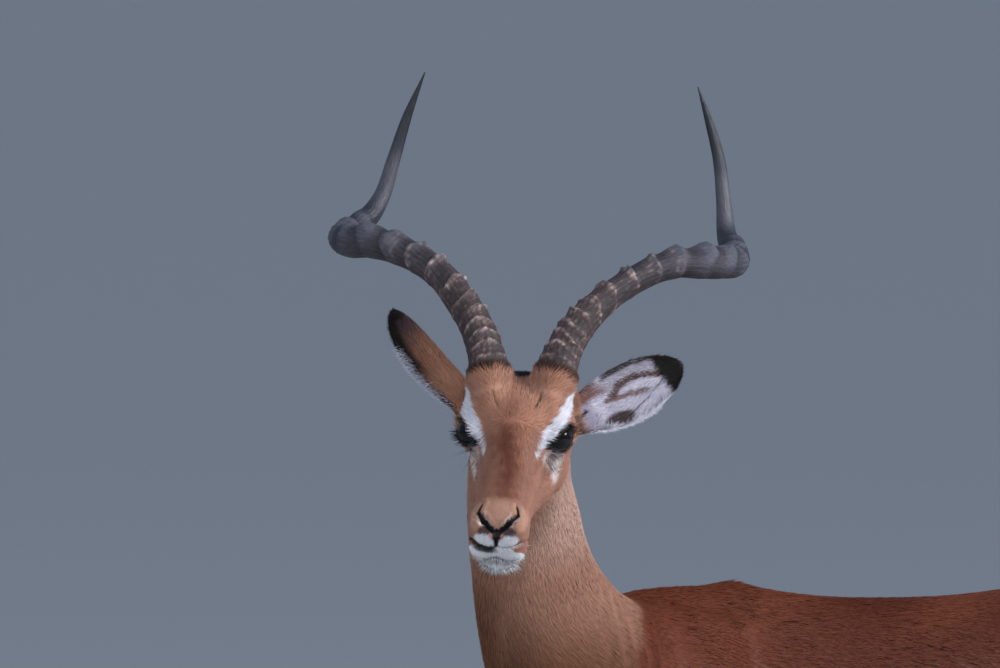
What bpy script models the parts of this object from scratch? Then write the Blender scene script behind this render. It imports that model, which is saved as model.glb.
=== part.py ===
"""A life-size impala ram, standing still with its neck bent and its head turned to its left.

Metres, +Z up. The ram faces -Y, and its left side is +X. The origin is on the floor, under the middle of its box.
Flesh is lofted from stations, fused, thinned to few faces and then parted with thin cuts into head, neck, trunk,
tail and legs. Eyes, ears, horns and hooves are solids of their own that sit against the flesh.
"""

import math

import bmesh
import bpy
import numpy as np
from mathutils import Matrix, Vector

# Driving dimensions.
WITHERS = 0.889  # floor to the top of the shoulders
CHEST_FLOOR = 0.517  # floor to the lowest point of the chest
EYE_PLACE = Vector((0.246, -0.524, 1.054))  # midway between the eyes
HEAD_TURN = math.radians(59)  # from straight ahead towards the ram's left
HEAD_PITCH = math.radians(29)  # nose down from level
HEAD_ROLL = math.radians(3.5)  # left side down
EYE_RADIUS = 0.0175
EYE_SPREAD = 0.0440  # middle of the head to the middle of an eyeball
LID_OPENING = (0.0175, 0.0105)  # half length and half height of the open eye
EAR_LENGTH = 0.141
CLAW_HALF_WIDTH = 0.0098
CLEFT = 0.0010  # half the gap between the two claws of a foot
GAP = 0.00030  # between two nodes that meet
BODY_VOXEL = 0.004
HEAD_VOXEL = 0.0022
SOFTER = 18  # more rounds of smoothing where the body is thick
BODY_FACES = 3000
HEAD_FACES = 1650
CENTRING = Vector((-0.1148, 0.0530, 0.0))  # moves the ram so that its box is centred over the origin

COAT = {"color": (0.36, 0.125, 0.045), "roughness": 0.8}
PALE_COAT = {"color": (0.50, 0.235, 0.11), "roughness": 0.8}
HORN = {"color": (0.060, 0.048, 0.048), "roughness": 0.5}
HOOF = {"color": (0.022, 0.018, 0.018), "roughness": 0.45}
EYE = {"color": (0.012, 0.008, 0.007), "roughness": 0.08}

LEFT, RIGHT = 1, -1
HERE = Matrix.Identity(4)
# Midway between the eyes, turned to where the ram looks, with +X still its left: level with the floor, then pitched.
LEVEL = Matrix.Translation(EYE_PLACE) @ Matrix.Rotation(HEAD_TURN, 4, "Z") @ Matrix.Rotation(HEAD_ROLL, 4, "Y")
HEAD = LEVEL @ Matrix.Rotation(HEAD_PITCH, 4, "X")


# Lofts: closed tubes drawn through a few stations.


def even(count):
    return np.linspace(0.0, 1.0, count)


def smooth_rows(rows, shares):
    """Rows read at these shares of the length along smooth curves through the stations."""
    rows = np.array(rows, float)
    knots = np.concatenate([[0], np.cumsum(np.linalg.norm(np.diff(rows[:, :3], axis=0), axis=1))])
    slopes = np.gradient(rows, knots, axis=0)
    at = np.asarray(shares) * knots[-1]
    low = np.clip(np.searchsorted(knots, at, side="right") - 1, 0, len(rows) - 2)
    span = (knots[low + 1] - knots[low])[:, None]
    t = (at[:, None] - knots[low][:, None]) / span
    start = (1 + 2 * t) * (1 - t) ** 2 * rows[low] + t * (1 - t) ** 2 * span * slopes[low]
    end = t * t * (3 - 2 * t) * rows[low + 1] + t * t * (t - 1) * span * slopes[low + 1]
    return start + end


def power(value, exponent):
    return math.copysign(abs(value) ** exponent, value)


def oval(row, angle):
    """Place on a rounded outline: half width, reach above and below, squareness, and how far the top draws in."""
    half, above, below, square, draw_in = row
    across, up = power(math.cos(angle), 2 / square), power(math.sin(angle), 2 / square)
    return half * across * (1 - draw_in * max(up, 0.0)), (above if up > 0 else below) * up


def loft(bm, rows, up, sides, shares, place=HERE, outline=oval, reach=0.0):
    """Adds one closed tube through stations of centre x, y, z and the outline's own numbers."""
    rows = smooth_rows(rows, shares)
    centres = [Vector(row[:3]) for row in rows]
    centres[0] += (centres[0] - centres[1]).normalized() * reach
    angle = bm.verts.layers.float.get("angle") or bm.verts.layers.float.new("angle")
    ring = bmesh.ops.create_circle(bm, cap_ends=True, segments=sides, radius=1)["verts"]
    edges = list({edge for vert in ring for edge in vert.link_edges})
    for index, vert in enumerate(ring):
        vert[angle] = 2 * math.pi * index / sides
    for k, centre in enumerate(centres):
        if k:
            grown = bmesh.ops.extrude_edge_only(bm, edges=edges)["geom"]
            ring = [g for g in grown if isinstance(g, bmesh.types.BMVert)]
            edges = [g for g in grown if isinstance(g, bmesh.types.BMEdge) and set(g.verts) <= set(ring)]
        along = (centres[min(k + 1, len(centres) - 1)] - centres[max(k - 1, 0)]).normalized()
        side = along.cross(up).normalized()
        rise = side.cross(along)
        for vert in ring:
            across, height = outline(rows[k][3:], vert[angle])
            vert.co = place @ (centre + side * across + rise * height)
    bmesh.ops.edgeloop_fill(bm, edges=edges)


def ball(bm, centre, radii, place=HERE, turn=0.0):
    """Adds an ellipsoid, turned about the upright."""
    shape = place @ Matrix.Translation(centre) @ Matrix.Rotation(turn, 4, "Z") @ Matrix.Diagonal((*radii, 1))
    bmesh.ops.create_uvsphere(bm, u_segments=20, v_segments=12, radius=1, matrix=shape)


# Flesh. Stations of the trunk: y, top, bottom, half width and how far the top draws in.
TRUNK_ROWS = (
    (-0.388, 0.715, 0.655, 0.040, 0.00),
    (-0.368, 0.770, 0.630, 0.070, 0.10),
    (-0.330, 0.850, 0.600, 0.088, 0.38),
    (-0.285, WITHERS - 0.008, 0.571, 0.098, 0.48),
    (-0.240, WITHERS - 0.002, 0.543, 0.106, 0.50),
    (-0.190, WITHERS, CHEST_FLOOR, 0.112, 0.44),
    (-0.130, 0.877, 0.519, 0.120, 0.32),
    (-0.050, 0.866, 0.528, 0.132, 0.20),
    (0.040, 0.862, 0.542, 0.137, 0.12),
    (0.140, 0.864, 0.566, 0.131, 0.12),
    (0.220, 0.872, 0.592, 0.119, 0.14),
    (0.290, 0.879, 0.620, 0.107, 0.14),
    (0.360, 0.878, 0.655, 0.096, 0.14),
    (0.425, 0.861, 0.690, 0.076, 0.10),
    (0.474, 0.826, 0.725, 0.040, 0.00),
)
# The neck: x, y, z, half width, and reach towards the nape and the throat.
NECK_ROWS = (
    (0.000, -0.180, 0.725, 0.095, 0.138, 0.150),
    (0.021, -0.296, 0.750, 0.088, 0.126, 0.142),
    (0.045, -0.364, 0.800, 0.076, 0.103, 0.115),
    (0.070, -0.412, 0.867, 0.0635, 0.086, 0.092),
    (0.096, -0.440, 0.930, 0.059, 0.075, 0.078),
    (0.116, -0.458, 0.990, 0.055, 0.067, 0.068),
    (0.145, -0.470, 1.045, 0.050, 0.058, 0.058),
    (0.180, -0.488, 1.070, 0.040, 0.045, 0.045),
)
NAPE = Vector((-0.25, 0.55, 0.80))
TAIL_ROWS = (
    (0.000, 0.440, 0.838, 0.030, 0.020, 0.020),
    (0.000, 0.484, 0.823, 0.021, 0.015, 0.017),
    (0.000, 0.508, 0.780, 0.0150, 0.0115, 0.0115),
    (0.001, 0.514, 0.700, 0.0135, 0.0100, 0.0100),
    (0.002, 0.514, 0.610, 0.0175, 0.0115, 0.0115),
    (0.003, 0.512, 0.530, 0.0190, 0.0115, 0.0115),
    (0.003, 0.510, 0.475, 0.0120, 0.0080, 0.0080),
    (0.003, 0.509, 0.450, 0.0040, 0.0030, 0.0030),
)
# Legs: x, y, z, half width, half depth forwards, half depth backwards.
FORELEG_ROWS = (
    (0.040, -0.205, 0.850, 0.016, 0.045, 0.045),
    (0.062, -0.225, 0.780, 0.038, 0.075, 0.075),
    (0.080, -0.240, 0.690, 0.046, 0.084, 0.098),
    (0.082, -0.218, 0.610, 0.044, 0.062, 0.086),
    (0.080, -0.205, 0.540, 0.036, 0.047, 0.063),
    (0.078, -0.206, 0.470, 0.0275, 0.0390, 0.0420),
    (0.076, -0.212, 0.390, 0.0210, 0.0270, 0.0275),
    (0.075, -0.216, 0.335, 0.0190, 0.0215, 0.0215),
    (0.075, -0.219, 0.300, 0.0210, 0.0230, 0.0215),
    (0.075, -0.216, 0.262, 0.0175, 0.0180, 0.0190),
    (0.075, -0.213, 0.190, 0.0137, 0.0147, 0.0162),
    (0.075, -0.212, 0.128, 0.0144, 0.0152, 0.0177),
    (0.075, -0.213, 0.100, 0.0185, 0.0190, 0.0215),
    (0.075, -0.227, 0.066, 0.0167, 0.0167, 0.0177),
    (0.075, -0.241, 0.038, 0.0207, 0.0202, 0.0200),
    (0.075, -0.246, 0.012, 0.0202, 0.0210, 0.0200),
)
HINDLEG_ROWS = (
    (0.045, 0.335, 0.845, 0.026, 0.070, 0.070),
    (0.066, 0.345, 0.790, 0.046, 0.110, 0.112),
    (0.077, 0.345, 0.710, 0.054, 0.128, 0.126),
    (0.080, 0.328, 0.630, 0.050, 0.112, 0.117),
    (0.077, 0.330, 0.560, 0.041, 0.083, 0.087),
    (0.072, 0.362, 0.495, 0.031, 0.055, 0.057),
    (0.068, 0.402, 0.430, 0.0220, 0.0340, 0.0350),
    (0.066, 0.431, 0.382, 0.0180, 0.0255, 0.0300),
    (0.065, 0.445, 0.345, 0.0205, 0.0265, 0.0320),
    (0.065, 0.446, 0.303, 0.0176, 0.0200, 0.0255),
    (0.066, 0.440, 0.220, 0.0142, 0.0157, 0.0187),
    (0.067, 0.431, 0.135, 0.0150, 0.0162, 0.0187),
    (0.068, 0.428, 0.102, 0.0185, 0.0200, 0.0225),
    (0.068, 0.415, 0.066, 0.0162, 0.0167, 0.0177),
    (0.068, 0.401, 0.038, 0.0202, 0.0202, 0.0200),
    (0.068, 0.396, 0.012, 0.0197, 0.0210, 0.0200),
)
LEAN_FROM = 0.56  # a leg steps forwards or backwards below this height
STEPS = {
    ("fore", LEFT): -0.022,
    ("fore", RIGHT): 0.030,
    ("hind", LEFT): 0.034,
    ("hind", RIGHT): -0.030,
}
# Head, in its own frame with the nose towards -Y: y, middle height, half width, above, below, squareness.
SKULL_ROWS = (
    (0.106, -0.022, 0.026, 0.018, 0.026, 2.0),
    (0.090, -0.018, 0.043, 0.033, 0.042, 2.2),
    (0.068, -0.014, 0.0500, 0.045, 0.058, 2.4),
    (0.045, -0.013, 0.0525, 0.054, 0.063, 2.6),
    (0.022, -0.014, 0.0515, 0.055, 0.064, 2.5),
    (0.000, -0.018, 0.0450, 0.0525, 0.062, 2.4),
    (-0.022, -0.022, 0.0375, 0.0470, 0.056, 2.3),
    (-0.045, -0.025, 0.0340, 0.0430, 0.045, 2.3),
    (-0.075, -0.027, 0.0320, 0.0380, 0.036, 2.3),
    (-0.105, -0.029, 0.0305, 0.0330, 0.029, 2.3),
    (-0.130, -0.030, 0.0315, 0.0300, 0.029, 2.3),
    (-0.147, -0.031, 0.0300, 0.0275, 0.028, 2.3),
    (-0.1560, -0.031, 0.0230, 0.0215, 0.023, 2.2),
    (-0.1605, -0.031, 0.0120, 0.0120, 0.013, 2.0),
)
JAW_ROWS = (
    (0.073, -0.050, 0.036, 0.030, 0.030, 2.1),
    (0.048, -0.055, 0.0465, 0.035, 0.038, 2.2),
    (0.020, -0.055, 0.0480, 0.035, 0.039, 2.2),
    (-0.015, -0.053, 0.0420, 0.035, 0.031, 2.2),
    (-0.055, -0.050, 0.0320, 0.030, 0.025, 2.1),
    (-0.095, -0.053, 0.0255, 0.020, 0.018, 2.1),
    (-0.125, -0.058, 0.0225, 0.015, 0.015, 2.1),
    (-0.143, -0.0605, 0.0155, 0.010, 0.010, 2.0),
)
# Bulges of the head: out to the side, back and up, their radii, and how far they turn in towards the nose.
BULGES = (
    (0.0000, -0.1330, -0.0655, 0.0195, 0.0200, 0.0115, 0.0),  # chin
    (0.0000, 0.0480, 0.0220, 0.0300, 0.0300, 0.0170, 0.0),  # crown
    (0.0325, 0.0440, 0.0290, 0.0245, 0.0300, 0.0205, 0.0),  # below a horn
    (0.0445, 0.0010, -0.0005, 0.0185, 0.0290, 0.0215, 0.35),  # around an eye
    (0.0340, 0.0220, 0.0120, 0.0235, 0.0360, 0.0220, 0.1),  # temple
    (0.0380, 0.0150, -0.0270, 0.0170, 0.0420, 0.0160, 0.25),  # cheekbone
    (0.0385, 0.0300, -0.0520, 0.0150, 0.0380, 0.0320, 0.1),  # chewing muscle
    (0.0400, 0.0750, -0.0100, 0.0200, 0.0220, 0.0250, 0.0),  # root of an ear
    (0.0175, -0.1470, -0.0190, 0.0120, 0.0130, 0.0130, 0.0),  # wing of the nose
    (0.0150, -0.1440, -0.0465, 0.0165, 0.0160, 0.0130, 0.0),  # upper lip
)


def shape_head(bm):
    """Skull and jaws with their bulges, of which all but the middle ones come in pairs, and a collar per horn."""
    up = Vector((0, 0, 1))
    for table, sides, count in ((SKULL_ROWS, 36, 40), (JAW_ROWS, 28, 30)):
        rows = [(0, y, z, half, above, below, square, 0) for y, z, half, above, below, square in table]
        loft(bm, rows, up, sides, even(count), HEAD)
    for x, y, z, *radii, turn in BULGES:
        for side in (LEFT, RIGHT) if x else (LEFT,):
            ball(bm, (side * x, y, z), radii, HEAD, -side * turn)
    for side in (LEFT, RIGHT):
        rows = smooth_rows(HORN_ROWS[side], [HAIRLINE / HORN_LENGTH * share for share in even(4)])
        rows = [(*row[:3], *[row[3] + COLLAR] * 3, 2.0, 0.0) for row in rows]
        loft(bm, rows, up, 24, even(6), LEVEL, reach=0.025)


def leg_rows(name, side):
    """A leg's stations on one side, stepped forwards or backwards."""
    rows = FORELEG_ROWS if name == "fore" else HINDLEG_ROWS
    step = STEPS[name, side]
    return [
        (side * x, y + step * max(0.0, 1 - z / LEAN_FROM), z, half, ahead, behind, 2.2, 0.0)
        for x, y, z, half, ahead, behind in rows
    ]


def shape_neck(bm, first):
    loft(bm, [(*row, 2.1, 0.0) for row in NECK_ROWS[first:]], NAPE, 32, even(30))


def shape_body(bm):
    """Trunk, neck, tail and legs."""
    up, ahead = Vector((0, 0, 1)), Vector((0, -1, 0))
    rows = [(0, y, (t + b) / 2, half, (t - b) / 2, (t - b) / 2, 2.1, draw) for y, t, b, half, draw in TRUNK_ROWS]
    loft(bm, rows, up, 36, even(40))
    shape_neck(bm, 0)
    loft(bm, [(*row, 2.2, 0.0) for row in TAIL_ROWS], ahead, 16, even(30))
    for side in (LEFT, RIGHT):
        loft(bm, leg_rows("fore", side), ahead, 20, even(60))
        loft(bm, leg_rows("hind", side), ahead, 20, even(60))
    ball(bm, (0.010, -0.262, 0.668), (0.092, 0.092, 0.112))
    ball(bm, (0, 0.100, 0.566), (0.014, 0.090, 0.017))
    ball(bm, (0, 0.322, 0.618), (0.026, 0.026, 0.042))


def new_mesh(name, bm):
    bmesh.ops.recalc_face_normals(bm, faces=bm.faces)
    mesh = bpy.data.meshes.new(name)
    bm.to_mesh(mesh)
    bm.free()
    return mesh


def evaluated(obj):
    """obj's mesh with its modifiers applied; obj itself is removed."""
    bpy.context.view_layer.update()
    graph = bpy.context.evaluated_depsgraph_get()
    mesh = bpy.data.meshes.new_from_object(obj.evaluated_get(graph))
    bpy.data.objects.remove(obj)
    return mesh


def fused(bm, voxel, smoothing, faces, softer_above=9.0):
    """The shapes made one skin with soft joins and about that many triangles."""
    obj = bpy.data.objects.new("fused", new_mesh("fused", bm))
    bpy.context.collection.objects.link(obj)
    remesh = obj.modifiers.new("one_skin", "REMESH")
    remesh.mode, remesh.voxel_size = "VOXEL", voxel
    smooth = obj.modifiers.new("soft_joins", "SMOOTH")
    smooth.iterations = smoothing
    mesh = evaluated(obj)
    bm = bmesh.new()
    bm.from_mesh(mesh)
    thick = [vert for vert in bm.verts if vert.co.z > softer_above]
    for _ in range(SOFTER):
        bmesh.ops.smooth_vert(bm, verts=thick, factor=0.5, use_axis_x=True, use_axis_y=True, use_axis_z=True)
    obj = bpy.data.objects.new("thinned", new_mesh("thinned", bm))
    bpy.context.collection.objects.link(obj)
    thin = obj.modifiers.new("few_faces", "DECIMATE")
    thin.ratio = faces / (2 * len(mesh.polygons))
    thin.use_collapse_triangulate = True
    return evaluated(obj)


# Thin cuts: each is a point on the plane and the way it faces.
CUTS = {
    "head": (HEAD @ Vector((0, 0.068, -0.098)), HEAD.to_3x3() @ Vector((0, 0.60, -0.80))),
    "neck": (Vector((0.010, -0.318, 0.771)), Vector((0.15, -0.88, 0.45))),
    "tail": (Vector((0.0, 0.4930, 0.80)), Vector((0.0, 1.0, 0.0))),
    "fore": (Vector((0.0, -0.200, 0.512)), Vector((0.0, 0.0, -1.0))),
    "hind": (Vector((0.0, 0.330, 0.570)), Vector((0.0, 0.36, -0.93))),
}


def turned(cut):
    return cut[0], -cut[1]


def kept_beyond(bm, point, facing):
    """Keeps what lies on the side that the plane faces, half a gap from it, and closes the cut."""
    facing = facing.normalized()
    geom = bm.verts[:] + bm.edges[:] + bm.faces[:]
    at = point + facing * GAP / 2
    cut = bmesh.ops.bisect_plane(bm, geom=geom, plane_co=at, plane_no=facing, clear_inner=True)["geom_cut"]
    rim = [e for e in cut if isinstance(e, bmesh.types.BMEdge)]
    bmesh.ops.holes_fill(bm, edges=rim, sides=0)


def largest_piece(bm):
    """Deletes all but the piece with the most vertices."""
    left, pieces = set(bm.verts), []
    while left:
        piece, front = set(), [next(iter(left))]
        while front:
            vert = front.pop()
            if vert not in piece:
                piece.add(vert)
                front += [e.other_vert(vert) for e in vert.link_edges]
        pieces.append(piece)
        left -= piece
    keep = max(pieces, key=len)
    bmesh.ops.delete(bm, geom=[v for v in bm.verts if v not in keep], context="VERTS")


def parted(mesh, cuts, side=0):
    """A piece of the flesh beyond each of these cuts, and on one side of the middle if side says so."""
    bm = bmesh.new()
    bm.from_mesh(mesh)
    for point, facing in cuts:
        kept_beyond(bm, point, facing)
    if side:
        kept_beyond(bm, Vector((0, 0, 0)), Vector((side, 0, 0)))
    largest_piece(bm)
    bmesh.ops.triangulate(bm, faces=[f for f in bm.faces if len(f.verts) > 4])
    return bm


# Eyes, ears, horns and hooves.


def gaze(side):
    """An eye's own frame: +Z out through the pupil, X along the slit of the lids."""
    out = Vector((side * 0.78, -0.60, 0.18)).normalized()
    up = out.cross(Vector((side * 0.60, 0.76, 0.22))).normalized()
    frame = Matrix((up.cross(out), up, out)).transposed().to_4x4()
    return HEAD @ Matrix.Translation((side * EYE_SPREAD, 0, 0)) @ frame


def eyeball(side, grow=0.0):
    bm = bmesh.new()
    bmesh.ops.create_uvsphere(bm, u_segments=14, v_segments=9, radius=EYE_RADIUS + grow, matrix=gaze(side))
    return bm


def lid_opening(side, grow=0.0):
    """An almond that cuts the lids open in front of an eyeball."""
    bm = bmesh.new()
    half, high = LID_OPENING
    place = gaze(side) @ Matrix.Translation((0, 0, 0.020)) @ Matrix.Diagonal((half + grow, high + grow, 1, 1))
    bmesh.ops.create_cone(bm, cap_ends=True, segments=14, radius1=0.92, radius2=1.20, depth=0.040, matrix=place)
    return bm


# Horns in the level frame: out, back and up from between the eyes, and radius. The two aren't quite alike.
HORN_ROWS = {
    LEFT: (
        (0.0310, 0.0110, 0.0370, 0.0150),
        (0.0332, 0.0160, 0.0486, 0.0193),
        (0.0436, 0.0343, 0.0919, 0.0183),
        (0.0573, 0.0480, 0.1170, 0.0168),
        (0.0760, 0.0662, 0.1391, 0.0148),
        (0.0980, 0.0847, 0.1574, 0.0140),
        (0.1405, 0.1164, 0.1792, 0.0146),
        (0.1815, 0.1459, 0.1813, 0.0154),
        (0.1992, 0.1850, 0.1838, 0.0146),
        (0.1964, 0.2079, 0.1925, 0.0130),
        (0.1881, 0.2242, 0.2039, 0.0110),
        (0.1794, 0.2406, 0.2447, 0.0079),
        (0.1714, 0.2491, 0.2858, 0.0065),
        (0.1575, 0.2529, 0.3267, 0.0041),
        (0.1444, 0.2528, 0.3605, 0.0006),
    ),
    RIGHT: (
        (-0.0262, 0.0050, 0.0360, 0.0150),
        (-0.0288, 0.0100, 0.0470, 0.0193),
        (-0.0400, 0.0255, 0.0858, 0.0183),
        (-0.0519, 0.0365, 0.1093, 0.0172),
        (-0.0693, 0.0509, 0.1303, 0.0160),
        (-0.0876, 0.0652, 0.1492, 0.0152),
        (-0.1259, 0.0884, 0.1712, 0.0148),
        (-0.1666, 0.1094, 0.1818, 0.0157),
        (-0.2003, 0.1380, 0.1804, 0.0154),
        (-0.2061, 0.1595, 0.1837, 0.0142),
        (-0.1984, 0.1785, 0.1930, 0.0124),
        (-0.1842, 0.1932, 0.2081, 0.0108),
        (-0.1766, 0.2011, 0.2230, 0.0092),
        (-0.1663, 0.2125, 0.2652, 0.0072),
        (-0.1564, 0.2188, 0.3076, 0.0052),
        (-0.1399, 0.2229, 0.3588, 0.0006),
    ),
}
HORN_LENGTH = 0.518  # along the curve
HAIRLINE = 0.032  # how far up a horn the skin reaches
COLLAR = 0.0035  # thickness of the skin around the foot of a horn
# Each ring's crest along the horn, and how far it stands out in front. It drops off sharply towards the tip.
RINGS = (
    (0.048, 0.0014),
    (0.060, 0.0016),
    (0.073, 0.0018),
    (0.087, 0.0020),
    (0.105, 0.0022),
    (0.130, 0.0026),
    (0.160, 0.0028),
    (0.189, 0.0028),
    (0.218, 0.0028),
    (0.248, 0.0028),
    (0.274, 0.0026),
    (0.297, 0.0024),
    (0.318, 0.0018),
    (0.339, 0.0012),
)
RING_DROP = 0.0045  # length of the sharp side


def horn(side, grow=0.0):
    """One horn, with a station on each ring's crest and at its foot."""
    at = [(0.0, 0.0), (0.014, 0.0), (0.030, 0.0)]
    for crest, height in RINGS:
        at += [(crest, height), (crest + RING_DROP, 0.0)]
    at += [(length, 0.0) for length in (0.360, 0.385, 0.412, 0.440, 0.470, 0.495, HORN_LENGTH)]
    lengths, swells = zip(*at)
    shares = [length / HORN_LENGTH for length in lengths]
    rows = smooth_rows(HORN_ROWS[side], shares)
    rows = [(*row[:3], row[3] + grow, swell) for row, swell in zip(rows, swells)]

    def outline(row, angle):
        radius = row[0] + row[1] * (0.6 + 0.4 * math.sin(angle))
        return radius * math.cos(angle), radius * math.sin(angle)

    bm = bmesh.new()
    knots = np.concatenate([[0], np.cumsum(np.linalg.norm(np.diff(np.array(rows)[:, :3], axis=0), axis=1))])
    loft(bm, rows, Vector((0.0, -0.35, 0.94)), 11, knots / knots[-1], LEVEL, outline, grow)
    bmesh.ops.triangulate(bm, faces=bm.faces, quad_method="FIXED")
    return bm


# An ear along its own length: half width, depth of the cup and thickness, over the ear's length.
EAR_ROWS = (
    (-0.090, 0.100, 0.100, 0.195),
    (0.000, 0.120, 0.115, 0.220),
    (0.120, 0.140, 0.140, 0.150),
    (0.280, 0.185, 0.150, 0.042),
    (0.450, 0.208, 0.135, 0.034),
    (0.620, 0.206, 0.115, 0.031),
    (0.780, 0.176, 0.085, 0.029),
    (0.900, 0.122, 0.055, 0.027),
    (0.970, 0.066, 0.030, 0.024),
    (1.000, 0.020, 0.014, 0.018),
)
# Where each ear grows, the way it points and the way its cup opens, in the level frame.
EARS = {
    LEFT: (Vector((0.047, 0.076, 0.013)), Vector((0.108, 0.066, 0.063)), Vector((0.42, -0.87, 0.25))),
    RIGHT: (Vector((-0.052, 0.080, 0.012)), Vector((-0.095, 0.030, 0.104)), Vector((-0.56, 0.39, -0.73))),
}
EAR_BOW = {LEFT: Vector((0.0, 0.0, -0.002)), RIGHT: Vector((-0.009, 0.0, -0.003))}  # how far its middle strays


def ear(side, grow=0.0):
    """One ear: a cupped leaf on a solid root."""
    root, along, opens = EARS[side]
    rows = []
    for share, half, cup, thick in EAR_ROWS:
        centre = root + along.normalized() * share * EAR_LENGTH + EAR_BOW[side] * (1 - (2 * share - 1) ** 2)
        if grow:
            thick = max(thick, 1.3 * cup)  # a socket has no cup
        rows.append((*centre, half * EAR_LENGTH + grow, cup * EAR_LENGTH + grow, thick * EAR_LENGTH + 2 * grow))

    def outline(row, angle):
        half, cup, thick = row
        if math.sin(angle) <= 0:
            return half * math.cos(angle), cup * math.sin(angle)
        rim = min(0.0012, 0.2 * half)
        return (half - rim) * math.cos(angle), rim - (cup - thick) * math.sin(angle)

    bm = bmesh.new()
    loft(bm, rows, opens, 12, even(13), LEVEL, outline, grow)
    bmesh.ops.triangulate(bm, faces=bm.faces, quad_method="FIXED")
    return bm


def coronet(name, side):
    """The slanting cut between a foot's skin and its claws, facing down."""
    foot = leg_rows(name, side)[-2]
    return Vector((foot[0], foot[1], 0.0300)), Vector((0, 0.28, -1.0))


def claw(name, side, inner):
    """One claw of a hoof, flat underneath and cut on a slant where the skin of the foot ends."""
    foot = leg_rows(name, side)[-2]
    x = foot[0] + (-side if inner else side) * (CLAW_HALF_WIDTH + CLEFT)
    y = foot[1] - 0.004
    rows = [
        (x, y, 0.000, CLAW_HALF_WIDTH, 0.0345, 0.0225, 2.3, 0.30),
        (x, y, 0.020, CLAW_HALF_WIDTH, 0.0270, 0.0215, 2.3, 0.20),
        (x, y, 0.046, CLAW_HALF_WIDTH * 0.95, 0.0165, 0.0195, 2.2, 0.05),
    ]
    bm = bmesh.new()
    loft(bm, rows, Vector((0, -1, 0)), 12, even(4))
    point, facing = coronet(name, side)
    kept_beyond(bm, point, facing)
    bmesh.ops.triangulate(bm, faces=[f for f in bm.faces if len(f.verts) > 4])
    return bm


# Materials and nodes.


def material(name, look):
    made = bpy.data.materials.new(name)
    made.use_nodes = True
    shader = made.node_tree.nodes["Principled BSDF"]
    shader.inputs["Base Color"].default_value = (*look["color"], 1)
    shader.inputs["Roughness"].default_value = look["roughness"]
    shader.inputs["Metallic"].default_value = 0.0
    return made


def node(name, bm, look):
    """One named sub-part of the ram, shaded smooth."""
    bmesh.ops.translate(bm, vec=CENTRING, verts=bm.verts)
    obj = bpy.data.objects.new(name, new_mesh(name, bm))
    obj.data.materials.append(look)
    obj.data.shade_smooth()
    bpy.context.collection.objects.link(obj)
    return obj


def socketed(obj, cutters):
    """Cuts a socket in obj for each of these shapes."""
    for bm in cutters:
        bmesh.ops.translate(bm, vec=CENTRING, verts=bm.verts)
        tool = bpy.data.objects.new("socket", new_mesh("socket", bm))
        bpy.context.collection.objects.link(tool)
        cut = obj.modifiers.new("socket", "BOOLEAN")
        cut.operation, cut.object, cut.solver = "DIFFERENCE", tool, "EXACT"
        bpy.context.view_layer.update()
        graph = bpy.context.evaluated_depsgraph_get()
        mesh = bpy.data.meshes.new_from_object(obj.evaluated_get(graph))
        obj.modifiers.clear()
        obj.data = mesh
        bpy.data.objects.remove(tool)


def build():
    for old in list(bpy.data.objects):
        bpy.data.objects.remove(old)
    coat, pale = material("rufous_coat", COAT), material("fawn_coat", PALE_COAT)
    keratin, hoof, eye = material("horn", HORN), material("hoof", HOOF), material("eye", EYE)

    bm = bmesh.new()
    shape_body(bm)
    body = fused(bm, BODY_VOXEL, 8, BODY_FACES, 0.49)
    bm = bmesh.new()
    shape_head(bm)
    shape_neck(bm, 4)
    skull = fused(bm, HEAD_VOXEL, 10, HEAD_FACES)

    head = node("head", parted(skull, [turned(CUTS["head"])]), pale)
    both = (LEFT, RIGHT)
    for shape, grow in ((lid_opening, 0.0), (eyeball, GAP), (horn, GAP), (ear, GAP)):
        socketed(head, [shape(side, grow) for side in both])
    node("neck", parted(body, [CUTS["head"], CUTS["neck"]]), pale)
    node("trunk", parted(body, [turned(CUTS[name]) for name in ("neck", "tail", "fore", "hind")]), coat)
    node("tail", parted(body, [CUTS["tail"]]), coat)
    for side, word in ((LEFT, "left"), (RIGHT, "right")):
        node("eye_" + word, eyeball(side), eye)
        node("horn_" + word, horn(side), keratin)
        node("ear_" + word, ear(side), pale)
        for name in ("fore", "hind"):
            step = [CUTS[name], turned(coronet(name, side))]
            node(f"{name}leg_{word}", parted(body, step, side), pale)
            for inner, place in ((True, "inner"), (False, "outer")):
                node(f"{name}_claw_{word}_{place}", claw(name, side, inner), hoof)


build()
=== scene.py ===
"""The looks of a life-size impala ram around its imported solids: skin, eyes, horns, hooves and coat.

Metres, +Z up. The ram faces -Y and its left side is +X, as in the frame.
"""

import math

import bmesh
import bpy
import numpy as np
from mathutils import Matrix, Vector


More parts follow.
